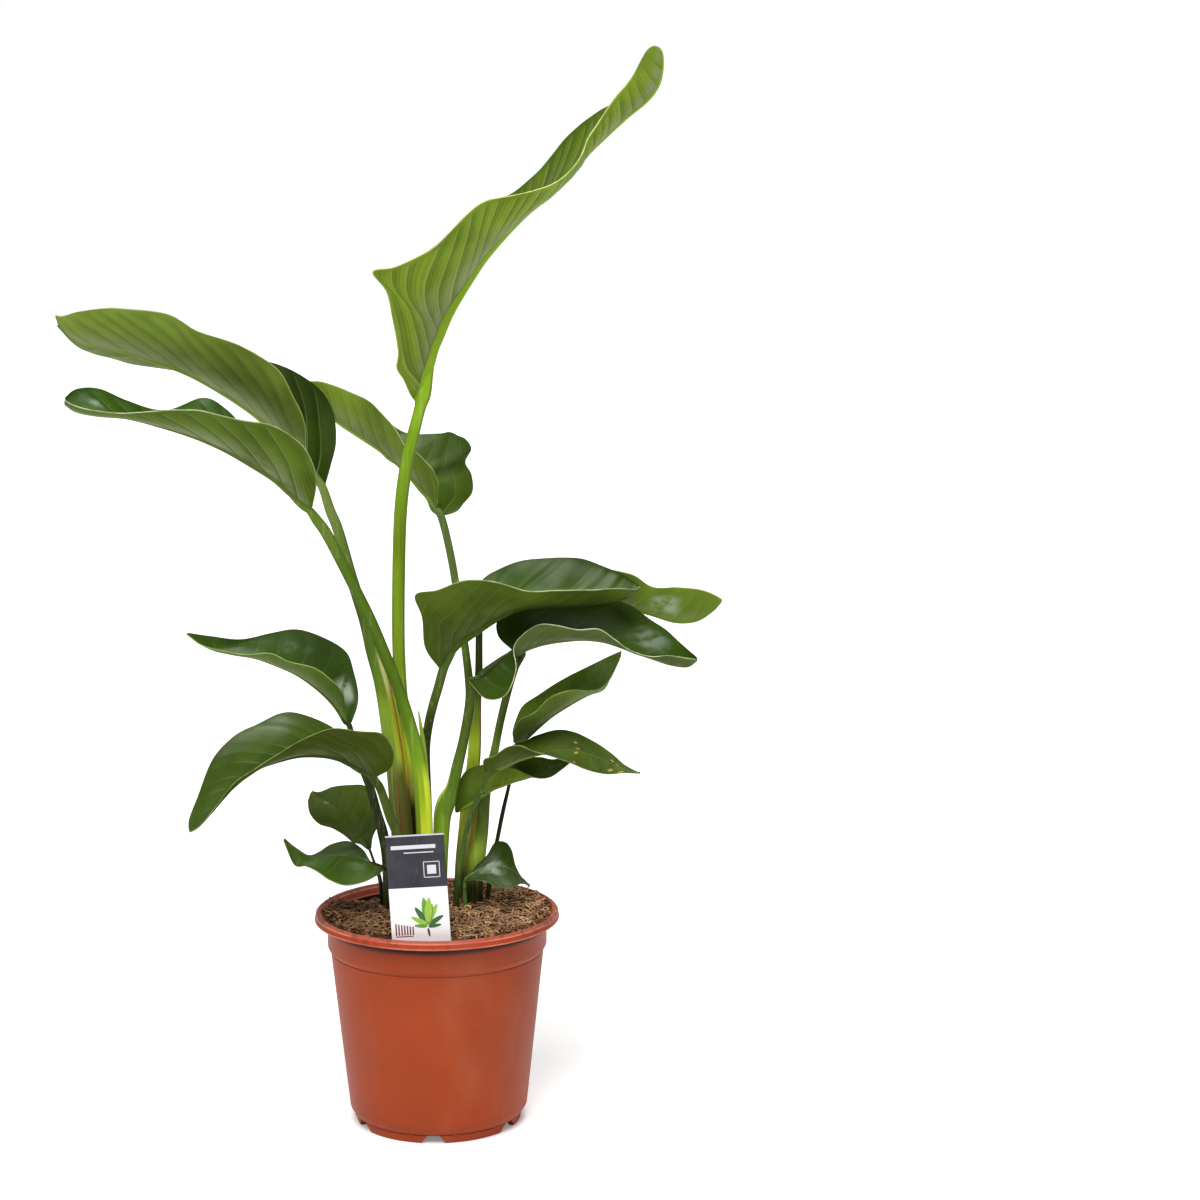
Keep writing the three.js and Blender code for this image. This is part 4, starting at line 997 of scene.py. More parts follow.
            (104, -33, 257), (117.5, -27, 252.5), (130, -23, 252.5), (140.5, -22, 251.5),
        ],
        "far": [
            (38, -13, 251), (44.5, -8, 255), (49.5, -2, 259.5), (53.5, 2, 266), (61, 5, 267.5),
            (69, 7, 272), (83, 8, 276), (95.5, 6, 274.5), (108.5, 1, 269), (121.5, -7, 262),
            (130.5, -15, 256), (140.5, -22, 252),
        ],
        "stalk": [
            (36, -14, 248.5, 4), (33.5, -12, 241, 3.5), (28, -8, 229, 3.5), (23, -4, 213, 3.5),
            (19, -1, 198, 3.5), (15.5, 1, 175.5, 4), (11.5, 5, 148.3, 4),
        ],
    },
    "inner_right_leaf": {
        "midrib": [
            (30.5, 0, 230), (32, 0, 231), (33.5, 0, 231.5), (34.5, 0, 233), (36.5, 0, 234),
            (40, 0, 236), (46.5, 0, 238.5), (53.5, 0, 241), (61.5, -1, 243.5), (70.5, -2, 246.5),
            (79.5, -3, 250.5), (86.5, -4, 254), (92.5, -5, 256),
        ],
        "near": [
            (32.5, -1, 231.5), (34, -2, 235), (35, -2, 238.5), (36.5, -3, 241.5), (37.5, -3, 244),
            (42.5, -4, 249), (48.5, -5, 251.5), (55.5, -7, 251.5), (62.5, -9, 248.5),
            (71, -11, 246), (79.5, -11, 247), (86.5, -8, 251), (92.5, -6, 255.5),
        ],
        "far": [
            (27.5, 2, 228), (20, 4, 222.5), (13, 7, 217.5), (13, 8, 225), (15, 8, 236.5),
            (20.5, 9, 246.5), (33, 9, 251), (49, 9, 253), (62, 8, 255.5), (72, 7, 256.5),
            (79.5, 5, 255.5), (86, 2, 256.5), (92, -4, 256.5),
        ],
        "stalk": [
            (29, 1, 227, 2.5), (24, 4, 215.5, 2.5), (19, 6, 196, 3), (15.5, 9, 173.5, 3),
            (12, 12, 148.3, 3.5),
        ],
    },
    "lowest_right_leaf": {
        "midrib": [
            (20, 4, 170.5), (23.5, 3, 174), (28.5, 3, 176.5), (34, 3, 179), (40.5, 3, 180),
            (46.5, 4, 179.5), (52, 6, 176.5), (57, 8, 172), (61, 9, 168.5), (64.5, 10, 164),
        ],
        "near": [
            (18.5, 2, 170), (23, -3, 171.5), (28, -8, 173), (35.5, -12, 173), (42.5, -14, 170),
            (49, -14, 169), (54.5, -11, 169.5), (58.5, -4, 169.5), (62, 3, 167), (64.5, 9, 163.5),
        ],
        "far": [
            (20.5, 5, 171.5), (26, 4, 178), (30.5, 6, 182.5), (35, 8, 187), (40, 11, 194.5),
            (47, 13, 194.5), (51.5, 16, 188), (54.5, 13, 177.5), (59, 12, 169.5), (64.5, 11, 164.5),
        ],
        "stalk": [
            (19.5, 4, 169, 3), (19, 4, 164.5, 3), (19, 5, 160, 3), (20, 6, 148.3, 3.5),
        ],
    },
}

# How each blade looks: the colours of its upper side, its underside, its thin edge and its midrib,
# the space between its side veins in millimetres, how far these lean towards the tip, how deep
# each half is hollowed and how strongly it is pleated, which also sets the painted shade and light
# on its pleats. A leaf can differ from the plain ones in its gloss, its painted glare in pale
# streaks along the veins on top, its painted sheen by the midrib underneath, a reflection of the
# floor, how stout its midrib is beside its stalk and how much painted shade darkens its far half
# underneath.
# Shine lists places painted with shine or, with a minus, with deep shade: from and to where along
# it and across it, and how strong. Spots lists dry spots by their place along it and across it.
PLAIN = {
    "gloss": 0.12, "painted_glare": 0.08, "floor_sheen": 0.2, "stout": 0.8, "shaded": 0, "shine": (), "spots": (),
}
LEAF_LOOKS = {
    "tallest_leaf": {
        "upper": (84, 108, 20), "under": (112, 136, 38), "edge": (222, 226, 140),
        "rib": (136, 172, 36), "veins": 12, "lean": 0.6, "cup": 0.1, "pleat": 1.3, "gloss": 0.1,
        "floor_sheen": 0.75, "stout": 1.2,
    },
    "high_left_leaf": {
        "upper": (42, 60, 8), "under": (112, 134, 50), "edge": (176, 190, 120),
        "rib": (136, 160, 56), "veins": 20, "lean": 1.0, "cup": 0.09, "pleat": 0.85, "gloss": 0.06,
        "painted_glare": 0.0, "floor_sheen": 0.7, "shaded": 0.5,
    },
    "near_left_leaf": {
        "upper": (52, 84, 8), "under": (82, 104, 26), "edge": (190, 200, 150), "rib": (90, 110, 40),
        "veins": 20, "lean": 1.1, "cup": 0.09, "pleat": 0.9, "gloss": 0.2, "floor_sheen": 0.7,
        "shine": [(84, 112, 0.3, 0.8, 0.45), (146, 168, 0.3, 0.7, 0.5)],
    },
    "back_leaf": {
        "upper": (62, 86, 8), "under": (104, 126, 38), "edge": (186, 196, 140),
        "rib": (130, 156, 56), "veins": 14, "lean": 0.8, "cup": 0.08, "pleat": 0.5, "floor_sheen": 0.5,
    },
    "side_left_leaf": {
        "upper": (52, 78, 10), "under": (92, 116, 34), "edge": (150, 168, 100),
        "rib": (96, 116, 40), "veins": 14, "lean": 0.6, "cup": 0.08, "pleat": 0.15, "gloss": 0.25,
        "shine": [(8, 36, 0.35, 0.9, 0.7), (60, 82, 0.3, 0.8, 0.15)],
    },
    "drooping_leaf": {
        "upper": (60, 80, 22), "under": (60, 74, 14), "edge": (124, 144, 74), "rib": (54, 68, 24),
        "veins": 15, "lean": 1.6, "cup": 0.08, "pleat": 0.4, "painted_glare": 0.22,
    },
    "small_left_leaf": {
        "upper": (90, 112, 44), "under": (90, 108, 40), "edge": (96, 98, 50), "rib": (84, 96, 44),
        "veins": 8, "lean": 0.5, "cup": 0.06, "pleat": 0.2, "spots": [(47, -0.12)],
    },
    "lowest_left_leaf": {
        "upper": (62, 88, 20), "under": (84, 92, 34), "edge": (150, 166, 110), "rib": (96, 112, 50),
        "veins": 8, "lean": 0.5, "cup": 0.06, "pleat": 0.1, "painted_glare": 0.05,
        "shine": [(12, 30, -0.5, -0.1, 0.25)],
    },
    "near_right_leaf": {
        "upper": (52, 76, 12), "under": (72, 91, 22), "edge": (176, 190, 130), "rib": (76, 96, 24),
        "veins": 12, "lean": 1.0, "cup": 0.09, "pleat": 0.2, "painted_glare": 0.3,
        "shine": [(70, 150, -1.3, 0.0, -0.35)],
    },
    "far_right_leaf": {
        "upper": (88, 112, 36), "under": (102, 127, 36), "edge": (166, 176, 84),
        "rib": (110, 134, 40), "veins": 14, "lean": 0.8, "cup": 0.08, "pleat": 0.25,
        "shine": [(122, 150, -0.85, -0.2, 0.5), (84, 128, -1.3, 1.3, -0.45)],
    },
    "broad_right_leaf": {
        "upper": (46, 68, 10), "under": (78, 92, 46), "edge": (186, 196, 146), "rib": (96, 110, 64),
        "veins": 13, "lean": 0.9, "cup": 0.08, "pleat": 0.15, "gloss": 0.02, "painted_glare": 0.02,
        "floor_sheen": 0.3, "shine": [(112, 150, 0.2, 0.9, 0.2)],
    },
    "upright_right_leaf": {
        "upper": (108, 138, 44), "under": (94, 114, 42), "edge": (140, 158, 92),
        "rib": (104, 124, 50), "veins": 9, "lean": 0.5, "cup": 0.06, "pleat": 0.15,
        "shine": [(62, 92, 0.2, 1.3, 0.12)],
    },
    "pointed_right_leaf": {
        "upper": (68, 88, 18), "under": (66, 80, 24), "edge": (120, 136, 76), "rib": (112, 130, 60),
        "veins": 9, "lean": 0.8, "cup": 0.06, "pleat": 0.15, "spots": [(65, 0.55), (66, 0.2),
        (65, -0.1), (69, -0.8), (92, 0.4), (95, 0.2), (93, -0.55), (100, -0.75)],
    },
    "inner_right_leaf": {
        "upper": (80, 102, 26), "under": (100, 124, 30), "edge": (112, 128, 56),
        "rib": (110, 134, 40), "veins": 9, "lean": 0.6, "cup": 0.06, "pleat": 0.15,
    },
    "lowest_right_leaf": {
        "upper": (42, 62, 8), "under": (84, 100, 34), "edge": (110, 126, 76), "rib": (110, 130, 70),
        "veins": 9, "lean": 0.6, "cup": 0.06, "pleat": 0.12, "painted_glare": 0.15,
        "shine": [(8, 34, -0.45, 0.3, 0.45)],
    },
}
BLADE_THICKNESS = 0.6 * MM
FINE_VEIN_SPACING = 3.2
RUFFLE_LENGTH = 11.5 * MM
RUFFLE_DEPTH = 0.6 * MM
WAVER_DEPTH = 0.7 * MM
PLEAT_DEPTH = 0.16 * MM


def on_curve(points, place):
    """The point at this place, from 0 to 1, on the smooth curve through the points."""
    steps = place * (len(points) - 1)
    i = min(int(steps), len(points) - 2)
    f = steps - i
    start, end = points[i], points[i + 1]
    before = points[i - 1] if i > 0 else 2 * start - end
    after = points[i + 2] if i + 2 < len(points) else 2 * end - start
    straight = 2 * start + (end - before) * f
    bend = (2 * before - 5 * start + 4 * end - after) * f * f
    twist = (3 * start - before - 3 * end + after) * f * f * f
    return 0.5 * (straight + bend + twist)


def direction(points, place):
    """Which way the smooth curve through the points runs at this place."""
    return on_curve(points, min(place + 0.01, 1)) - on_curve(points, max(place - 0.01, 0))


def bones_of(leaf, rows):
    """The blade's bones at each row: midrib, its direction, both edges and the length so far."""
    midrib, near, far = ([Vector(p) * MM for p in leaf[key]] for key in ("midrib", "near", "far"))
    bones = []
    length = 0
    for i in range(rows + 1):
        u = i / rows
        middle = on_curve(midrib, u)
        if bones:
            length += (middle - bones[-1]["middle"]).length
        bones.append({
            "middle": middle,
            "ahead": direction(midrib, u).normalized(),
            "near": on_curve(near, u) - middle,
            "far": on_curve(far, u) - middle,
            "length": length,
        })
    return bones


def pointing(bones):
    """1 for a leaf that points to the right, -1 for one that points to the left."""
    return 1 if bones[-1]["middle"].x > bones[0]["middle"].x else -1


def midrib_radius(looks, stalk_width, share):
    """How thick the midrib is at this share of the blade's length: it thins out to the tip."""
    return looks["stout"] * stalk_width / 2 * (1 - share) + 0.25 * MM


def blade_point(bone, side, bones, looks, seed):
    """A point of the blade, hollowed, ruffled and pleated, and its count of side veins so far."""
    reach = bone["far"] if side > 0 else bone["near"]
    upward = bone["ahead"].cross(reach) * (pointing(bones) if side > 0 else -pointing(bones))
    if upward.length > 0:
        upward.normalize()
    out = abs(side)
    width = reach.length
    length = bone["length"]
    hollow = looks["cup"] * width * 4 * out * (1 - out)
    ruffle = RUFFLE_DEPTH * math.sin(length / RUFFLE_LENGTH + side * 2 + seed) * out ** 3
    ruffle += WAVER_DEPTH * noise.noise(Vector((length * 60, side * 2, seed))) * out
    leaning = length - looks["lean"] * width * out * (0.6 + 0.4 * out)
    vein = leaning / (looks["veins"] * MM)
    vein += 0.7 * noise.noise(Vector((leaning * 0.5 / (looks["veins"] * MM), seed, side * 0.4)))
    swell = -PLEAT_DEPTH * looks["pleat"] * math.cos(math.tau * vein)
    swell *= min(out * 6, 1) * min((1 - out) * 8, 1)
    swell *= min(width / 0.02, 1) * min(length / 0.02, 1)
    to_tip = bones[-1]["length"] - length
    ease = min(width / 0.03, 1) * min(to_tip / 0.03, 1) * min(length / 0.03, 1)
    place = bone["middle"] + reach * out + upward * (swell - hollow + ruffle * max(ease, 0))
    return place, vein


def blade_mesh(name, bones, looks, columns, stalk_width, materials):
    """A flat grid laid over the leaf's bones, thickened, with the midrib raised underneath."""
    rows = len(bones) - 1
    whole = bones[-1]["length"]
    bpy.ops.mesh.primitive_grid_add(x_subdivisions=rows, y_subdivisions=columns, size=2)
    blade = bpy.context.object
    blade.name = name
    points = blade.data.vertices
    measures = {"along": [], "across": [], "half": [], "course": []}
    for point in points:
        bone = bones[round((point.co.x + 1) / 2 * rows)]
        side = pointing(bones) * math.copysign(abs(point.co.y) ** 1.5, point.co.y)
        point.co, vein = blade_point(bone, side, bones, looks, seed=len(name) * 7.3)
        measures["along"].append(bone["length"])
        measures["across"].append(side)
        measures["half"].append((bone["far"] if side > 0 else bone["near"]).length)
        measures["course"].append(vein)
    count = len(points)
    for measure, values in measures.items():
        carry(blade.data, measure, values)
    for material in materials:
        blade.data.materials.append(material)
    only(blade)
    bpy.ops.object.modifier_add(type="SOLIDIFY")
    skin = blade.modifiers[0]
    skin.thickness = BLADE_THICKNESS
    skin.offset = -1
    skin.use_quality_normals = True
    skin.material_offset = 1
    skin.material_offset_rim = 2
    bpy.ops.object.modifier_apply(modifier=skin.name)
    points = blade.data.vertices
    for i in range(count):
        share = measures["along"][i] / whole
        rib = midrib_radius(looks, stalk_width, share) * min(0.6 + 4 * share, 1)
        from_middle = abs(measures["across"][i]) * measures["half"][i]
        if from_middle < rib:
            down = (points[count + i].co - points[i].co).normalized()
            points[count + i].co += down * rib * 0.85 * (1 - (from_middle / rib) ** 2) ** 0.5
    bpy.ops.object.shade_smooth_by_angle(angle=math.radians(60))
    return blade


PAINTED_GLARE = srgb(176, 188, 160)
PAINTED_FLOOR_SHEEN = srgb(136, 138, 112)
SHEEN = srgb(196, 208, 190)
PALE_VEIN = srgb(170, 176, 146)
DRY_SPOT = srgb(196, 160, 84)
DRY_TIP = srgb(128, 104, 58)


def streaks(finish, course, closeness):
    """Noise that changes from one side vein to the next."""
    values = {"W": course * closeness, "Detail": 1.0}
    return finish.node("TexNoise", {"noise_dimensions": "1D"}, values)


def blade_finish(name, looks, underside, whole, stalk_width, dry_from):
    """Leaf skin: pleated between its side veins, with a midrib, a pale margin and a fine grain."""
    finish = Finish(name, specular_ior_level=0.06 if underside else looks["gloss"])
    along, across, half, course = (finish.own(key) for key in ("along", "across", "half", "course"))
    out = abs(across)
    from_middle = out * half
    from_edge = (1 - out) * half
    clouds = finish.mottle(38, 3)
    patches = finish.mottle(150, 3, roughness=0.6)
    base = srgb(*(looks["under"] if underside else looks["upper"]))
    edge = srgb(*looks["edge"])
    finish.skin = finish.mix(clouds.rise(0.3, 0.7), tinted(base, 0.8), tinted(base, 1.2))

    # Pleats: painted shade beside each vein, painted light at each crest, and fine veins over them
    pleat = looks["pleat"]
    open_skin = out.rise(0.03, 0.2) * from_edge.rise(0.5 * MM, 6 * MM)
    open_skin = open_skin * along.rise(whole, whole * 0.8)
    panel = course.fraction()
    finish.coat((1 - panel.rise(0.0, 0.8)) * open_skin * (0.42 * pleat), tinted(base, 0.4))
    finish.coat(panel.rise(0.3, 0.95) * open_skin * (0.26 * pleat), tinted(base, 1.65))
    fine = (course * round(looks["veins"] / FINE_VEIN_SPACING) + patches * 0.4).wave()
    fineness = min(0.05 + 0.25 * pleat, 0.2) if underside else 0.02 + 0.12 * pleat
    finish.coat((fine ** 3) * open_skin * fineness, tinted(base, 1.7))
    finish.coat(((1 - fine) ** 3) * open_skin * fineness, tinted(base, 0.5))

    # Painted sheen and painted shade underneath, painted glare on top, and the midrib's own width
    broad = streaks(finish, course, 0.16)
    near_rib = (1 - out).rise(0.3, 0.9)
    beside_rib = from_middle / midrib_radius(looks, stalk_width, along / whole)
    if underside:
        # Painted sheen by the midrib underneath: a reflection of the floor
        floor_sheen = near_rib * (patches * 0.4 + clouds * 0.6).rise(0.3, 0.6) * panel.rise(0.0, 0.5)
        finish.coat(floor_sheen * looks["floor_sheen"], PAINTED_FLOOR_SHEEN)
        # Painted shade over the far half underneath
        finish.coat(across.rise(0.0, 0.15) * looks["shaded"], tinted(base, 0.5))
        # Painted shade along both sides of the midrib
        finish.coat(beside_rib.rise(2.2, 1.2) * 0.45, tinted(base, 0.5))
        rib = beside_rib.rise(1.35, 1.05) * 0.9
    else:
        # Painted glare: pale streaks between the veins on the upper side, fading at the margin
        glare = finish.mottle(17, 2).rise(0.4, 0.65) * broad.rise(0.35, 0.7)
        finish.coat(glare * from_edge.rise(0.0, 5 * MM) * looks["painted_glare"], PAINTED_GLARE)
        rib = beside_rib.rise(0.7, 0.3) * 0.5
    for start, end, inner, outer, bright in looks["shine"]:
        soft = (end - start) * 0.4
        ends = (value * MM for value in (start, start + soft, end - soft, end))
        lit = along.band(*ends) * across.band(inner, inner + 0.2, outer - 0.2, outer)
        if bright > 0:
            sheen = lit * (broad * 0.6 + patches * 0.6).rise(0.45, 0.75)
            finish.coat(sheen * bright, SHEEN)
        else:
            finish.coat(lit * -bright, tinted(base, 0.25))

    # Side veins, broken and pale with a shadow beside them, and the midrib
    sharp = 2.2 * looks["veins"]
    broken = streaks(finish, course, 0.2).rise(0.3, 0.6) * open_skin
    shadow = ((course + 0.035).wave() ** sharp) * broken
    line = (course.wave() ** sharp) * broken
    pale_line = finish.mix(near_rib, finish.mix(0.3, tinted(base, 1.5), edge), PALE_VEIN)
    finish.coat(shadow * (0.5 * pleat), tinted(base, 0.5))
    finish.coat(line * ((0.1 if underside else 0.03) + 0.5 * pleat), pale_line)
    finish.coat(rib, srgb(*looks["rib"]))

    # Margin: it catches the light on the near half and is dark on the far half
    near_half = across.rise(0.1, -0.1)
    brim = finish.mix(patches.rise(0.3, 0.6) * near_half, edge, finish.mix(0.6, base, edge))
    lit = finish.mottle(30, 1).rise(0.35, 0.6)
    finish.coat(from_edge.rise(0.9 * MM, 0.3 * MM) * lit * near_half * 0.75, brim)
    finish.coat(from_edge.rise(0.8 * MM, 0.2 * MM) * (1 - near_half) * 0.5, tinted(base, 0.45))
    for place, side in looks["spots"]:
        away = abs(along - place * MM) + abs(across - side) * half + patches * 0.004
        finish.coat(away.rise(0.0044, 0.003) * 0.8, DRY_SPOT)
    if dry_from:
        finish.coat((along + patches * 0.006).rise(dry_from, dry_from + 0.005), DRY_TIP)

    grain = finish.mottle(900, 2)
    pleats = fine * (0.12 * pleat) + panel.rise(0.0, 0.3) * pleat + clouds * 0.8
    finish.set(
        base_color=finish.skin,
        normal=finish.relief(grain, 0.05 * MM, under=finish.relief(pleats, 0.3 * MM)),
        roughness=grain * 0.08 + clouds * 0.12 + (0.42 if underside else 0.26),
    )
    return finish.material


def edge_finish(name, looks):
    """The blade's thin edge: the pale margin colour on its near half, dark green on the other."""
    finish = Finish(name, specular_ior_level=0.2, roughness=0.45)
    edge = srgb(*looks["edge"])
    green = finish.mix(0.6, edge, srgb(*looks["under"]))
    near = finish.mix(finish.mottle(120, 2).rise(0.4, 0.65), edge, green)
    far = tinted(srgb(*looks["upper"]), 0.7)
    finish.set(base_color=finish.mix(finish.own("across").rise(0.1, -0.1), far, near))
    return finish.material


# Where a stalk is carried on under the blade: how far along it, and how thick beside the midrib
STALK_UNDER_BLADE = [(0.2, 0.4), (0.13, 0.9), (0.06, 1.1)]
STALK_FOOT_IN_SOIL = 9 * MM
STALK_DEPTH_RATIO = 0.85


def under_blade(bones, looks, width):
    """Rings that carry the stalk on under the blade until the midrib takes over."""
    rings = []
    for place, share in STALK_UNDER_BLADE:
        bone = bones[round(place * (len(bones) - 1))]
        upward = bone["ahead"].cross(bone["far"] - bone["near"]) * pointing(bones)
        radius = midrib_radius(looks, width, place)
        centre = bone["middle"] - upward.normalized() * radius * 0.4
        rings.append(Vector((*centre, 2 * radius * share)))
    return rings


def stalk_mesh(name, line, rows, sides):
    """A flat grid rolled into a tube round the stalk's middle line, its seam and ends closed."""
    line[-1].z -= STALK_FOOT_IN_SOIL
    bpy.ops.mesh.primitive_grid_add(x_subdivisions=rows, y_subdivisions=sides, size=2)
    stalk = bpy.context.object
    stalk.name = name
    heights, rights = [], []
    for point in stalk.data.vertices:
        u = (point.co.x + 1) / 2
        turn = point.co.y * math.pi
        here = on_curve(line, u)
        ahead = direction(line, u).to_3d().normalized()
        sideways = Vector((0, 1, 0)).cross(ahead).normalized()
        radius = here.w / 2
        flute = 1 + 0.02 * math.cos(turn * 6)
        point.co = here.to_3d() - sideways * math.sin(turn) * radius * flute
        point.co -= ahead.cross(sideways) * math.cos(turn) * radius * STALK_DEPTH_RATIO * flute
        heights.append(here.z)
        rights.append(math.sin(turn))
    carry(stalk.data, "height", heights)
    carry(stalk.data, "right", rights)
    face_outwards(stalk, doubles_within=0.01 * MM)
    bpy.ops.object.shade_smooth_by_angle(angle=math.radians(50))
    return stalk


def stalk_finish(name, bands, stripes=()):
    """Smooth fleshy skin: one colour after another down the stalk, and stripes along its sides."""
    finish = Finish(name, specular_ior_level=0.12)
    height = finish.own("height")
    right = finish.own("right")
    clouds = finish.mottle(60, 2, stretch=(1, 1, 0.15))
    strands = finish.mottle(500, 3, stretch=(1, 1, 0.03), roughness=0.6)
    finish.skin = srgb(*bands[0][1])
    for (high, _), (low, colour) in zip(bands, bands[1:]):
        finish.coat((height + clouds * 8 * MM).rise(high * MM, low * MM), srgb(*colour))
    dark = finish.mix(0.35, finish.skin, BLACK)
    pale = finish.mix(0.18, finish.skin, srgb(230, 230, 170))
    finish.coat(strands.rise(0.55, 0.75) * 0.6, dark)
    finish.coat(strands.rise(0.45, 0.3) * 0.7, pale)
    # Painted shade down both edges of the stalk, deeper on the right than the left
    painted_side_shade = right.rise(0.62, 0.98) * 0.5 + right.rise(-0.8, -1.0) * 0.35
    finish.coat(painted_side_shade, finish.mix(0.55, finish.skin, BLACK))
    place = right + strands * 0.1 - 0.05
    for start, end, top, bottom, colour in stripes:
        ends = (value * MM for value in (bottom - 10, bottom + 10, top - 10, top + 10))
        stripe = height.band(*ends) * place.band(start - 0.12, start + 0.04, end - 0.04, end + 0.12)
        finish.coat(stripe * 0.9, srgb(*colour))
    finish.set(
        base_color=finish.skin,
        roughness=clouds * 0.12 + 0.36,
        normal=finish.relief(strands, 0.12 * MM),
    )
    return finish.material


# How each stalk looks: its colours, each given with the height at which it is reached, and for the
# leaf sheaths their stripes: from and to where (-1 is left and 1 right), top, bottom and colour.
# The colours down a stalk are partly its own and partly painted light and shade: near black where
# it stands in shade and very pale where light falls on it.
STALK_BANDS = {
    "tallest_leaf": [
        (500, (136, 174, 36)), (480, (118, 152, 28)), (410, (104, 132, 22)), (388, (118, 148, 28)),
        (330, (124, 154, 28)), (310, (136, 168, 32)), (296, (104, 138, 24)), (284, (190, 206, 44)),
        (262, (236, 250, 60)), (240, (200, 200, 84)), (222, (60, 62, 22)),
    ],
    "high_left_leaf": [
        (436, (110, 128, 60)), (397, (94, 116, 44)), (367, (76, 100, 24)), (341, (90, 116, 40)),
        (312, (112, 140, 42)), (296, (132, 160, 46)), (270, (120, 140, 46)), (246, (84, 98, 32)),
        (226, (84, 92, 34)), (205, (84, 92, 36)),
    ],
    "near_left_leaf": [
        (425, (96, 120, 36)), (396, (78, 106, 22)), (320, (78, 106, 18)), (294, (96, 128, 24)),
        (268, (112, 148, 28)), (244, (146, 172, 32)), (216, (196, 216, 42)),
    ],
    "back_leaf": [
        (404, (96, 116, 56)), (362, (88, 108, 44)), (320, (84, 106, 34)), (280, (78, 98, 32)),
        (244, (80, 106, 28)), (219, (108, 142, 30)), (199, (126, 162, 30)),
    ],
    "side_left_leaf": [(280, (52, 64, 24)), (220, (40, 50, 18)), (190, (58, 68, 26))],
    "drooping_leaf": [(250, (62, 80, 22)), (236, (80, 100, 32)), (205, (80, 100, 34))],
    "small_left_leaf": [(190, (70, 84, 34)), (160, (40, 42, 18))],
    "lowest_left_leaf": [(180, (50, 54, 26)), (160, (34, 30, 14))],
    "near_right_leaf": [
        (316, (82, 104, 34)), (300, (76, 94, 32)), (286, (58, 72, 24)), (262, (54, 68, 22)),
        (230, (50, 64, 20)),
    ],
    "far_right_leaf": [
        (360, (56, 68, 20)), (310, (62, 78, 24)), (284, (146, 168, 48)), (262, (206, 228, 62)),
        (235, (158, 180, 46)), (205, (194, 208, 84)), (184, (152, 150, 58)), (166, (64, 70, 24)),
    ],
    "broad_right_leaf": [
        (330, (54, 66, 24)), (294, (92, 112, 42)), (269, (124, 152, 52)), (248, (76, 92, 28)),
        (230, (82, 100, 34)), (208, (88, 108, 30)), (190, (150, 178, 56)), (165, (56, 64, 22)),
    ],
    "upright_right_leaf": [(235, (30, 34, 14)), (205, (28, 34, 14)), (190, (64, 78, 34))],
    "pointed_right_leaf": [
        (245, (72, 92, 26)), (220, (70, 96, 36)), (190, (76, 104, 38)), (160, (50, 66, 26)),
    ],
    "inner_right_leaf": [(220, (90, 120, 44)), (180, (96, 128, 44))],
    "lowest_right_leaf": [(175, (84, 116, 52)), (155, (84, 112, 52))],
}
STALK_STRIPES = {
    "high_left_leaf": [
        (0.35, 1.2, 326, 296, (214, 214, 132)), (0.3, 0.78, 302, 254, (164, 176, 48)),
        (0.74, 0.84, 312, 236, (158, 92, 32)), (0.9, 1.2, 304, 240, (214, 224, 50)),
        (0.12, 1.2, 236, 190, (92, 88, 38)), (-0.02, 0.04, 248, 190, (118, 52, 28)),
    ],
    "near_left_leaf": [
        (-1.2, -0.4, 250, 190, (112, 142, 30)), (0.4, 1.2, 250, 190, (206, 224, 56)),
    ],
    "back_leaf": [(-1.2, -0.8, 244, 190, (170, 184, 96))],
    "far_right_leaf": [
        (0.82, 1.2, 300, 240, (124, 60, 30)), (-0.9, -0.62, 196, 172, (170, 140, 70)),
    ],
    "broad_right_leaf": [(-1.2, -0.4, 222, 186, (150, 142, 56))],
    "tallest_leaf": [
        (0.75, 1.2, 560, 300, (104, 132, 26)), (-1.2, -0.85, 560, 300, (104, 130, 30)),
    ],
}
# From how far along, in metres, a blade's tip is dry
DRY_FROM = {"broad_right_leaf": 0.176, "small_left_leaf": 0.060, "near_right_leaf": 0.157}

for stem, leaf in LEAVES.items():
    looks = {**PLAIN, **LEAF_LOOKS[stem]}
    size = (Vector(leaf["midrib"][0]) - Vector(leaf["midrib"][-1])).length
    rows, columns = (220, 48) if size > 200 else (150, 48) if size > 100 else (90, 32)
    bones = bones_of(leaf, rows)
    whole = bones[-1]["length"]
    stalk_width = leaf["stalk"][0][3] * MM
    dry_from = DRY_FROM.get(stem)
    materials = [
        blade_finish(stem + "_upper", looks, False, whole, stalk_width, dry_from),
        blade_finish(stem + "_under", looks, True, whole, stalk_width, dry_from),
        edge_finish(stem + "_edge", looks),
    ]
    blade = blade_mesh(stem + "_blade_skin", bones, looks, columns, stalk_width, materials)
    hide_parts(stem + "_blade")
    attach(blade, "root")

    rings = under_blade(bones, looks, stalk_width) + [Vector(ring) * MM for ring in leaf["stalk"]]
    stalk = stalk_mesh(stem + "_stalk_skin", rings, rows=96, sides=28)
    finish = stalk_finish(stem + "_stalk", STALK_BANDS[stem], STALK_STRIPES.get(stem, ()))
    stalk.data.materials.append(finish)
    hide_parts(stem + "_stalk")
    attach(stalk, "root")


# The next leaf: a thin spear, still rolled up, that stands between the two shoots. It is made as
# the stalks are.
SPEAR = [
    (-11.5, 0, 290.5, 1), (-10.5, 0, 283, 2), (-8.5, 1, 266.5, 3.5), (-6.5, 5, 233.5, 4),
    (-5.5, 8, 197.5, 5), (-6, 11, 148.3, 5),
]
SPEAR_BANDS = [(280, (146, 170, 58)), (240, (186, 204, 62)), (210, (192, 206, 52))]
spear = stalk_mesh("next_leaf_spear_skin", [Vector(ring) * MM for ring in SPEAR], rows=60, sides=20)
spear.data.materials.append(stalk_finish("next_leaf_spear", SPEAR_BANDS))
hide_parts("next_leaf_spear")
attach(spear, "root")


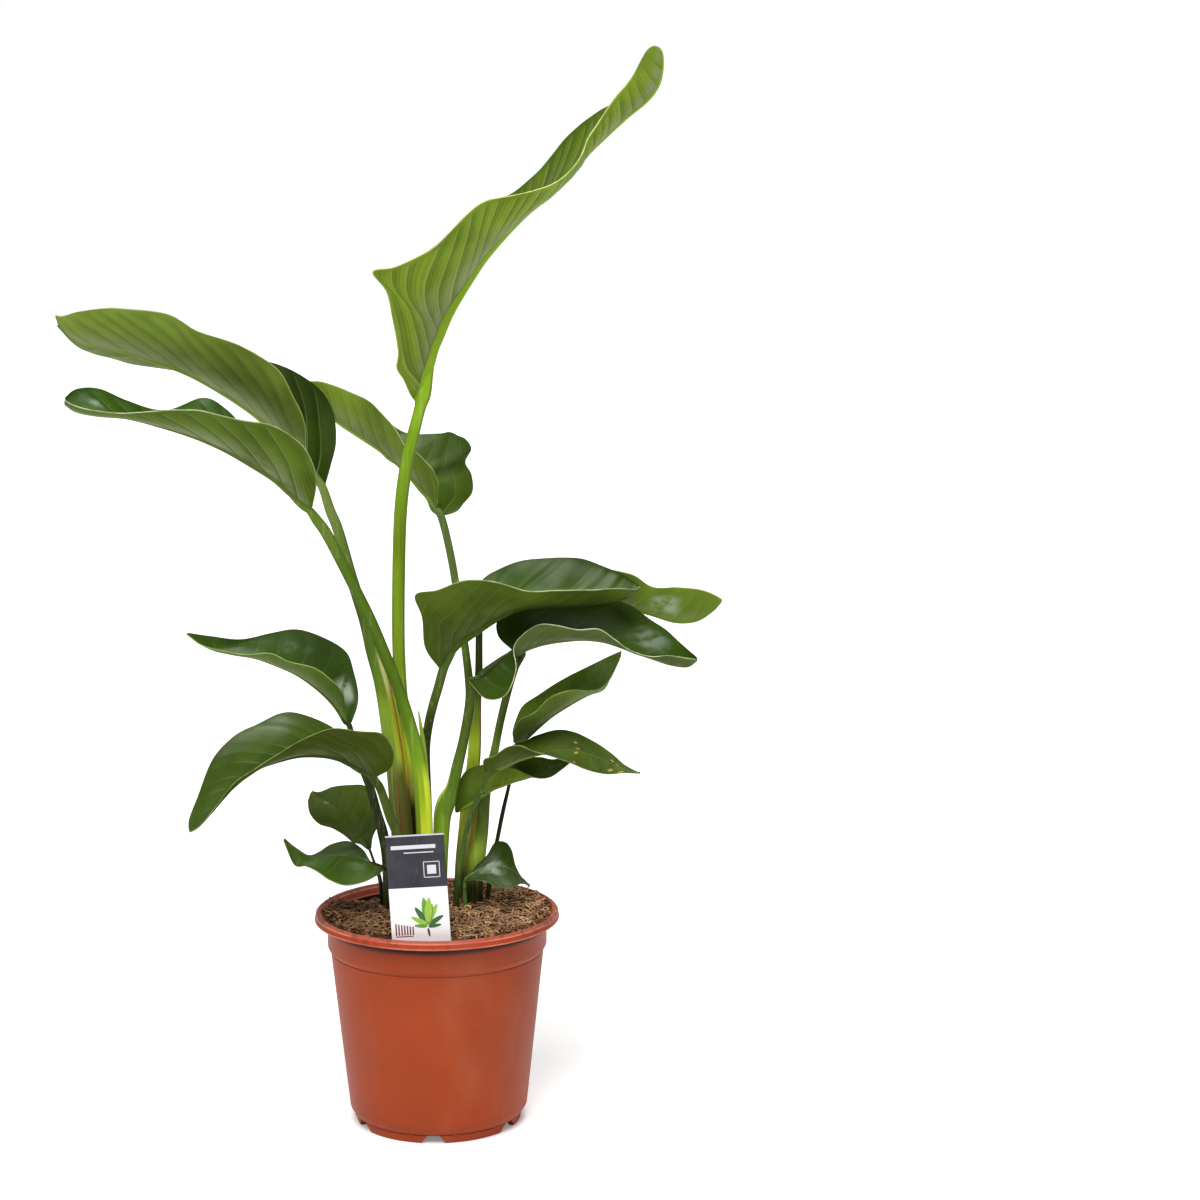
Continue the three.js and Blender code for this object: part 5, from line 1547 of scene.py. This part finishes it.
# Plant label: a thin plastic card with a pointed stake, pushed into the soil behind the front of
# the rim. It is printed charcoal above and white below, with a plain sprig and two pale rules.
LABEL_WIDTH = 39.5
LABEL_HEIGHT = 72.2
LABEL_FOOT = Vector((-6.6, -69.0, 147.6))
LABEL_LEAN = math.radians(-2.5)
LABEL_TILT = math.radians(-3.4)
CARD_THICKNESS = 0.5
CARD_BOTTOM = -2
STAKE_HALF_WIDTH = 7.5
STAKE_SHOULDER = -18
STAKE_POINT = -28
WHITE_PART = 36.0
PRINT_FRONT = -0.29
PRINT_DEPTH = 0.05


def cut_shape(name, outline, front, thickness):
    """A flat shape in the card's own plane, as a plane pulled out to its outline and thickened."""
    points = [Vector((x, front, z)) * MM for x, z in outline]
    piece = new_piece(name, points, [tuple(range(len(points)))])
    only(piece)
    bpy.ops.object.mode_set(mode="EDIT")
    bpy.ops.mesh.select_all(action="SELECT")
    bpy.ops.mesh.extrude_region_move(TRANSFORM_OT_translate={"value": (0, thickness * MM, 0)})
    bpy.ops.object.mode_set(mode="OBJECT")
    face_outwards(piece)
    return piece


def stood_up(piece):
    """Leans the piece as the label leans and puts it in its place in the soil."""
    tilt = Matrix.Rotation(LABEL_TILT, 4, "Y")
    lean = Matrix.Rotation(LABEL_LEAN, 4, "X")
    piece.data.transform(Matrix.Translation(LABEL_FOOT * MM) @ tilt @ lean)
    return piece


left_half = [
    (-LABEL_WIDTH / 2, CARD_BOTTOM), (-STAKE_HALF_WIDTH, CARD_BOTTOM),
    (-STAKE_HALF_WIDTH, STAKE_SHOULDER), (0, STAKE_POINT),
]
right_half = [(-x, z) for x, z in reversed(left_half[:-1])]
top_corners = [(LABEL_WIDTH / 2, LABEL_HEIGHT), (-LABEL_WIDTH / 2, LABEL_HEIGHT)]
outline = left_half + right_half + top_corners
card = cut_shape("label_card", outline, -CARD_THICKNESS / 2, CARD_THICKNESS)
carry(card.data, "card_height", [point.co.z for point in card.data.vertices])
stood_up(card)

coating = Finish("label_print", roughness=0.38, specular_ior_level=0.45)
card_height = coating.own("card_height")
boundary = card_height.rise((WHITE_PART - 0.1) * MM, (WHITE_PART + 0.1) * MM)
top_edge = card_height.rise((LABEL_HEIGHT - 1.2) * MM, (LABEL_HEIGHT - 0.9) * MM)
scuffs = coating.mottle(420, 3, stretch=(1, 1, 0.25)).rise(0.6, 0.8)
slate = coating.mix(coating.mottle(70, 4).rise(0.3, 0.75), srgb(30, 30, 38), srgb(50, 50, 60))
slate = coating.mix(scuffs * 0.3, slate, srgb(96, 96, 108))
coating.skin = coating.mix(boundary, srgb(244, 244, 244), slate)
coating.coat(top_edge, srgb(196, 196, 204))
coating.set(base_color=coating.skin)
card.data.materials.append(coating.material)
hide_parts("plant_label")
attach(card, "root")


def printed(shapes, name, ink_name, colour, darkest, palest):
    """Prints these shapes on the card in one ink, which varies from darkest to palest."""
    piece = stood_up(joined(shapes, name))
    ink = Finish(ink_name, roughness=0.4)
    dark, pale = tinted(srgb(*colour), darkest), tinted(srgb(*colour), palest)
    ink.set(base_color=ink.mix(ink.mottle(500, 2), dark, pale))
    piece.data.materials.append(ink.material)
    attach(piece, "root")


def leaflet(x, z, length, turn):
    """A pointed leaf outline that starts at this place and leans this far, in degrees."""
    outline = []
    lean = math.radians(turn)
    for i in range(16):
        around = math.tau * i / 16
        along = length * (0.5 - 0.5 * math.cos(around))
        out = 0.17 * length * math.sin(around) * (1 - 0.35 * along / length)
        right = along * math.sin(lean) + out * math.cos(lean)
        up = along * math.cos(lean) - out * math.sin(lean)
        outline.append((x + right, z + up))
    return outline


# The sprig's leaflets: ink, foot, length and how far each leans to the right
SPRIG_GREENS = {"pale": (150, 190, 60), "mid": (98, 150, 50), "deep": (52, 96, 40)}
SPRIG = [
    ("mid", 5.0, 11.0, 18, -6), ("pale", 5.2, 12.0, 14, 30), ("deep", 4.8, 11.0, 14, -34),
    ("pale", 4.6, 10.5, 12, -62), ("deep", 5.4, 10.2, 12, 60), ("mid", 5.0, 10.0, 15, 14),
    ("pale", 5.1, 12.0, 17, 6), ("mid", 4.8, 9.4, 9, -86), ("deep", 5.2, 9.0, 9, 84),
    ("deep", 5.0, 8.0, 6, 172),
]
for shade, colour in SPRIG_GREENS.items():
    shapes = [
        cut_shape("leaflet", leaflet(x, z, length, turn), PRINT_FRONT - 0.01 * i, PRINT_DEPTH)
        for i, (tone, x, z, length, turn) in enumerate(SPRIG) if tone == shade
    ]
    printed(shapes, "sprig_" + shade, "sprig_" + shade, colour, 0.8, 1.2)


def bar(x, z, wide, high):
    """A printed bar, given by its lower left corner and its size."""
    corners = [(x, z), (x + wide, z), (x + wide, z + high), (x, z + high)]
    return cut_shape("bar", corners, PRINT_FRONT, PRINT_DEPTH)


TWO_RULES = [(-16.5, 62.5, 30, 2.6), (-8, 59.6, 20, 0.7)]
SQUARE_FRAME = [(4.5, 42.5, 11, 0.5), (4.5, 53, 11, 0.5), (4.5, 42.5, 0.5, 11), (15, 42.5, 0.5, 11)]
SQUARE = [(7, 45, 6, 6)]
pale_bars = [bar(*place) for place in TWO_RULES + SQUARE_FRAME + SQUARE]
printed(pale_bars, "label_rules", "pale_print", (214, 214, 220), 0.9, 1.05)
brown_bars = [bar(-17, 2.6, 12, 0.7)]
brown_bars += [bar(-17 + 1.9 * i, 3.8, 1.0, 8 - 0.4 * i) for i in range(7)]
printed(brown_bars, "label_bands", "brown_print", (122, 62, 54), 0.9, 1.05)
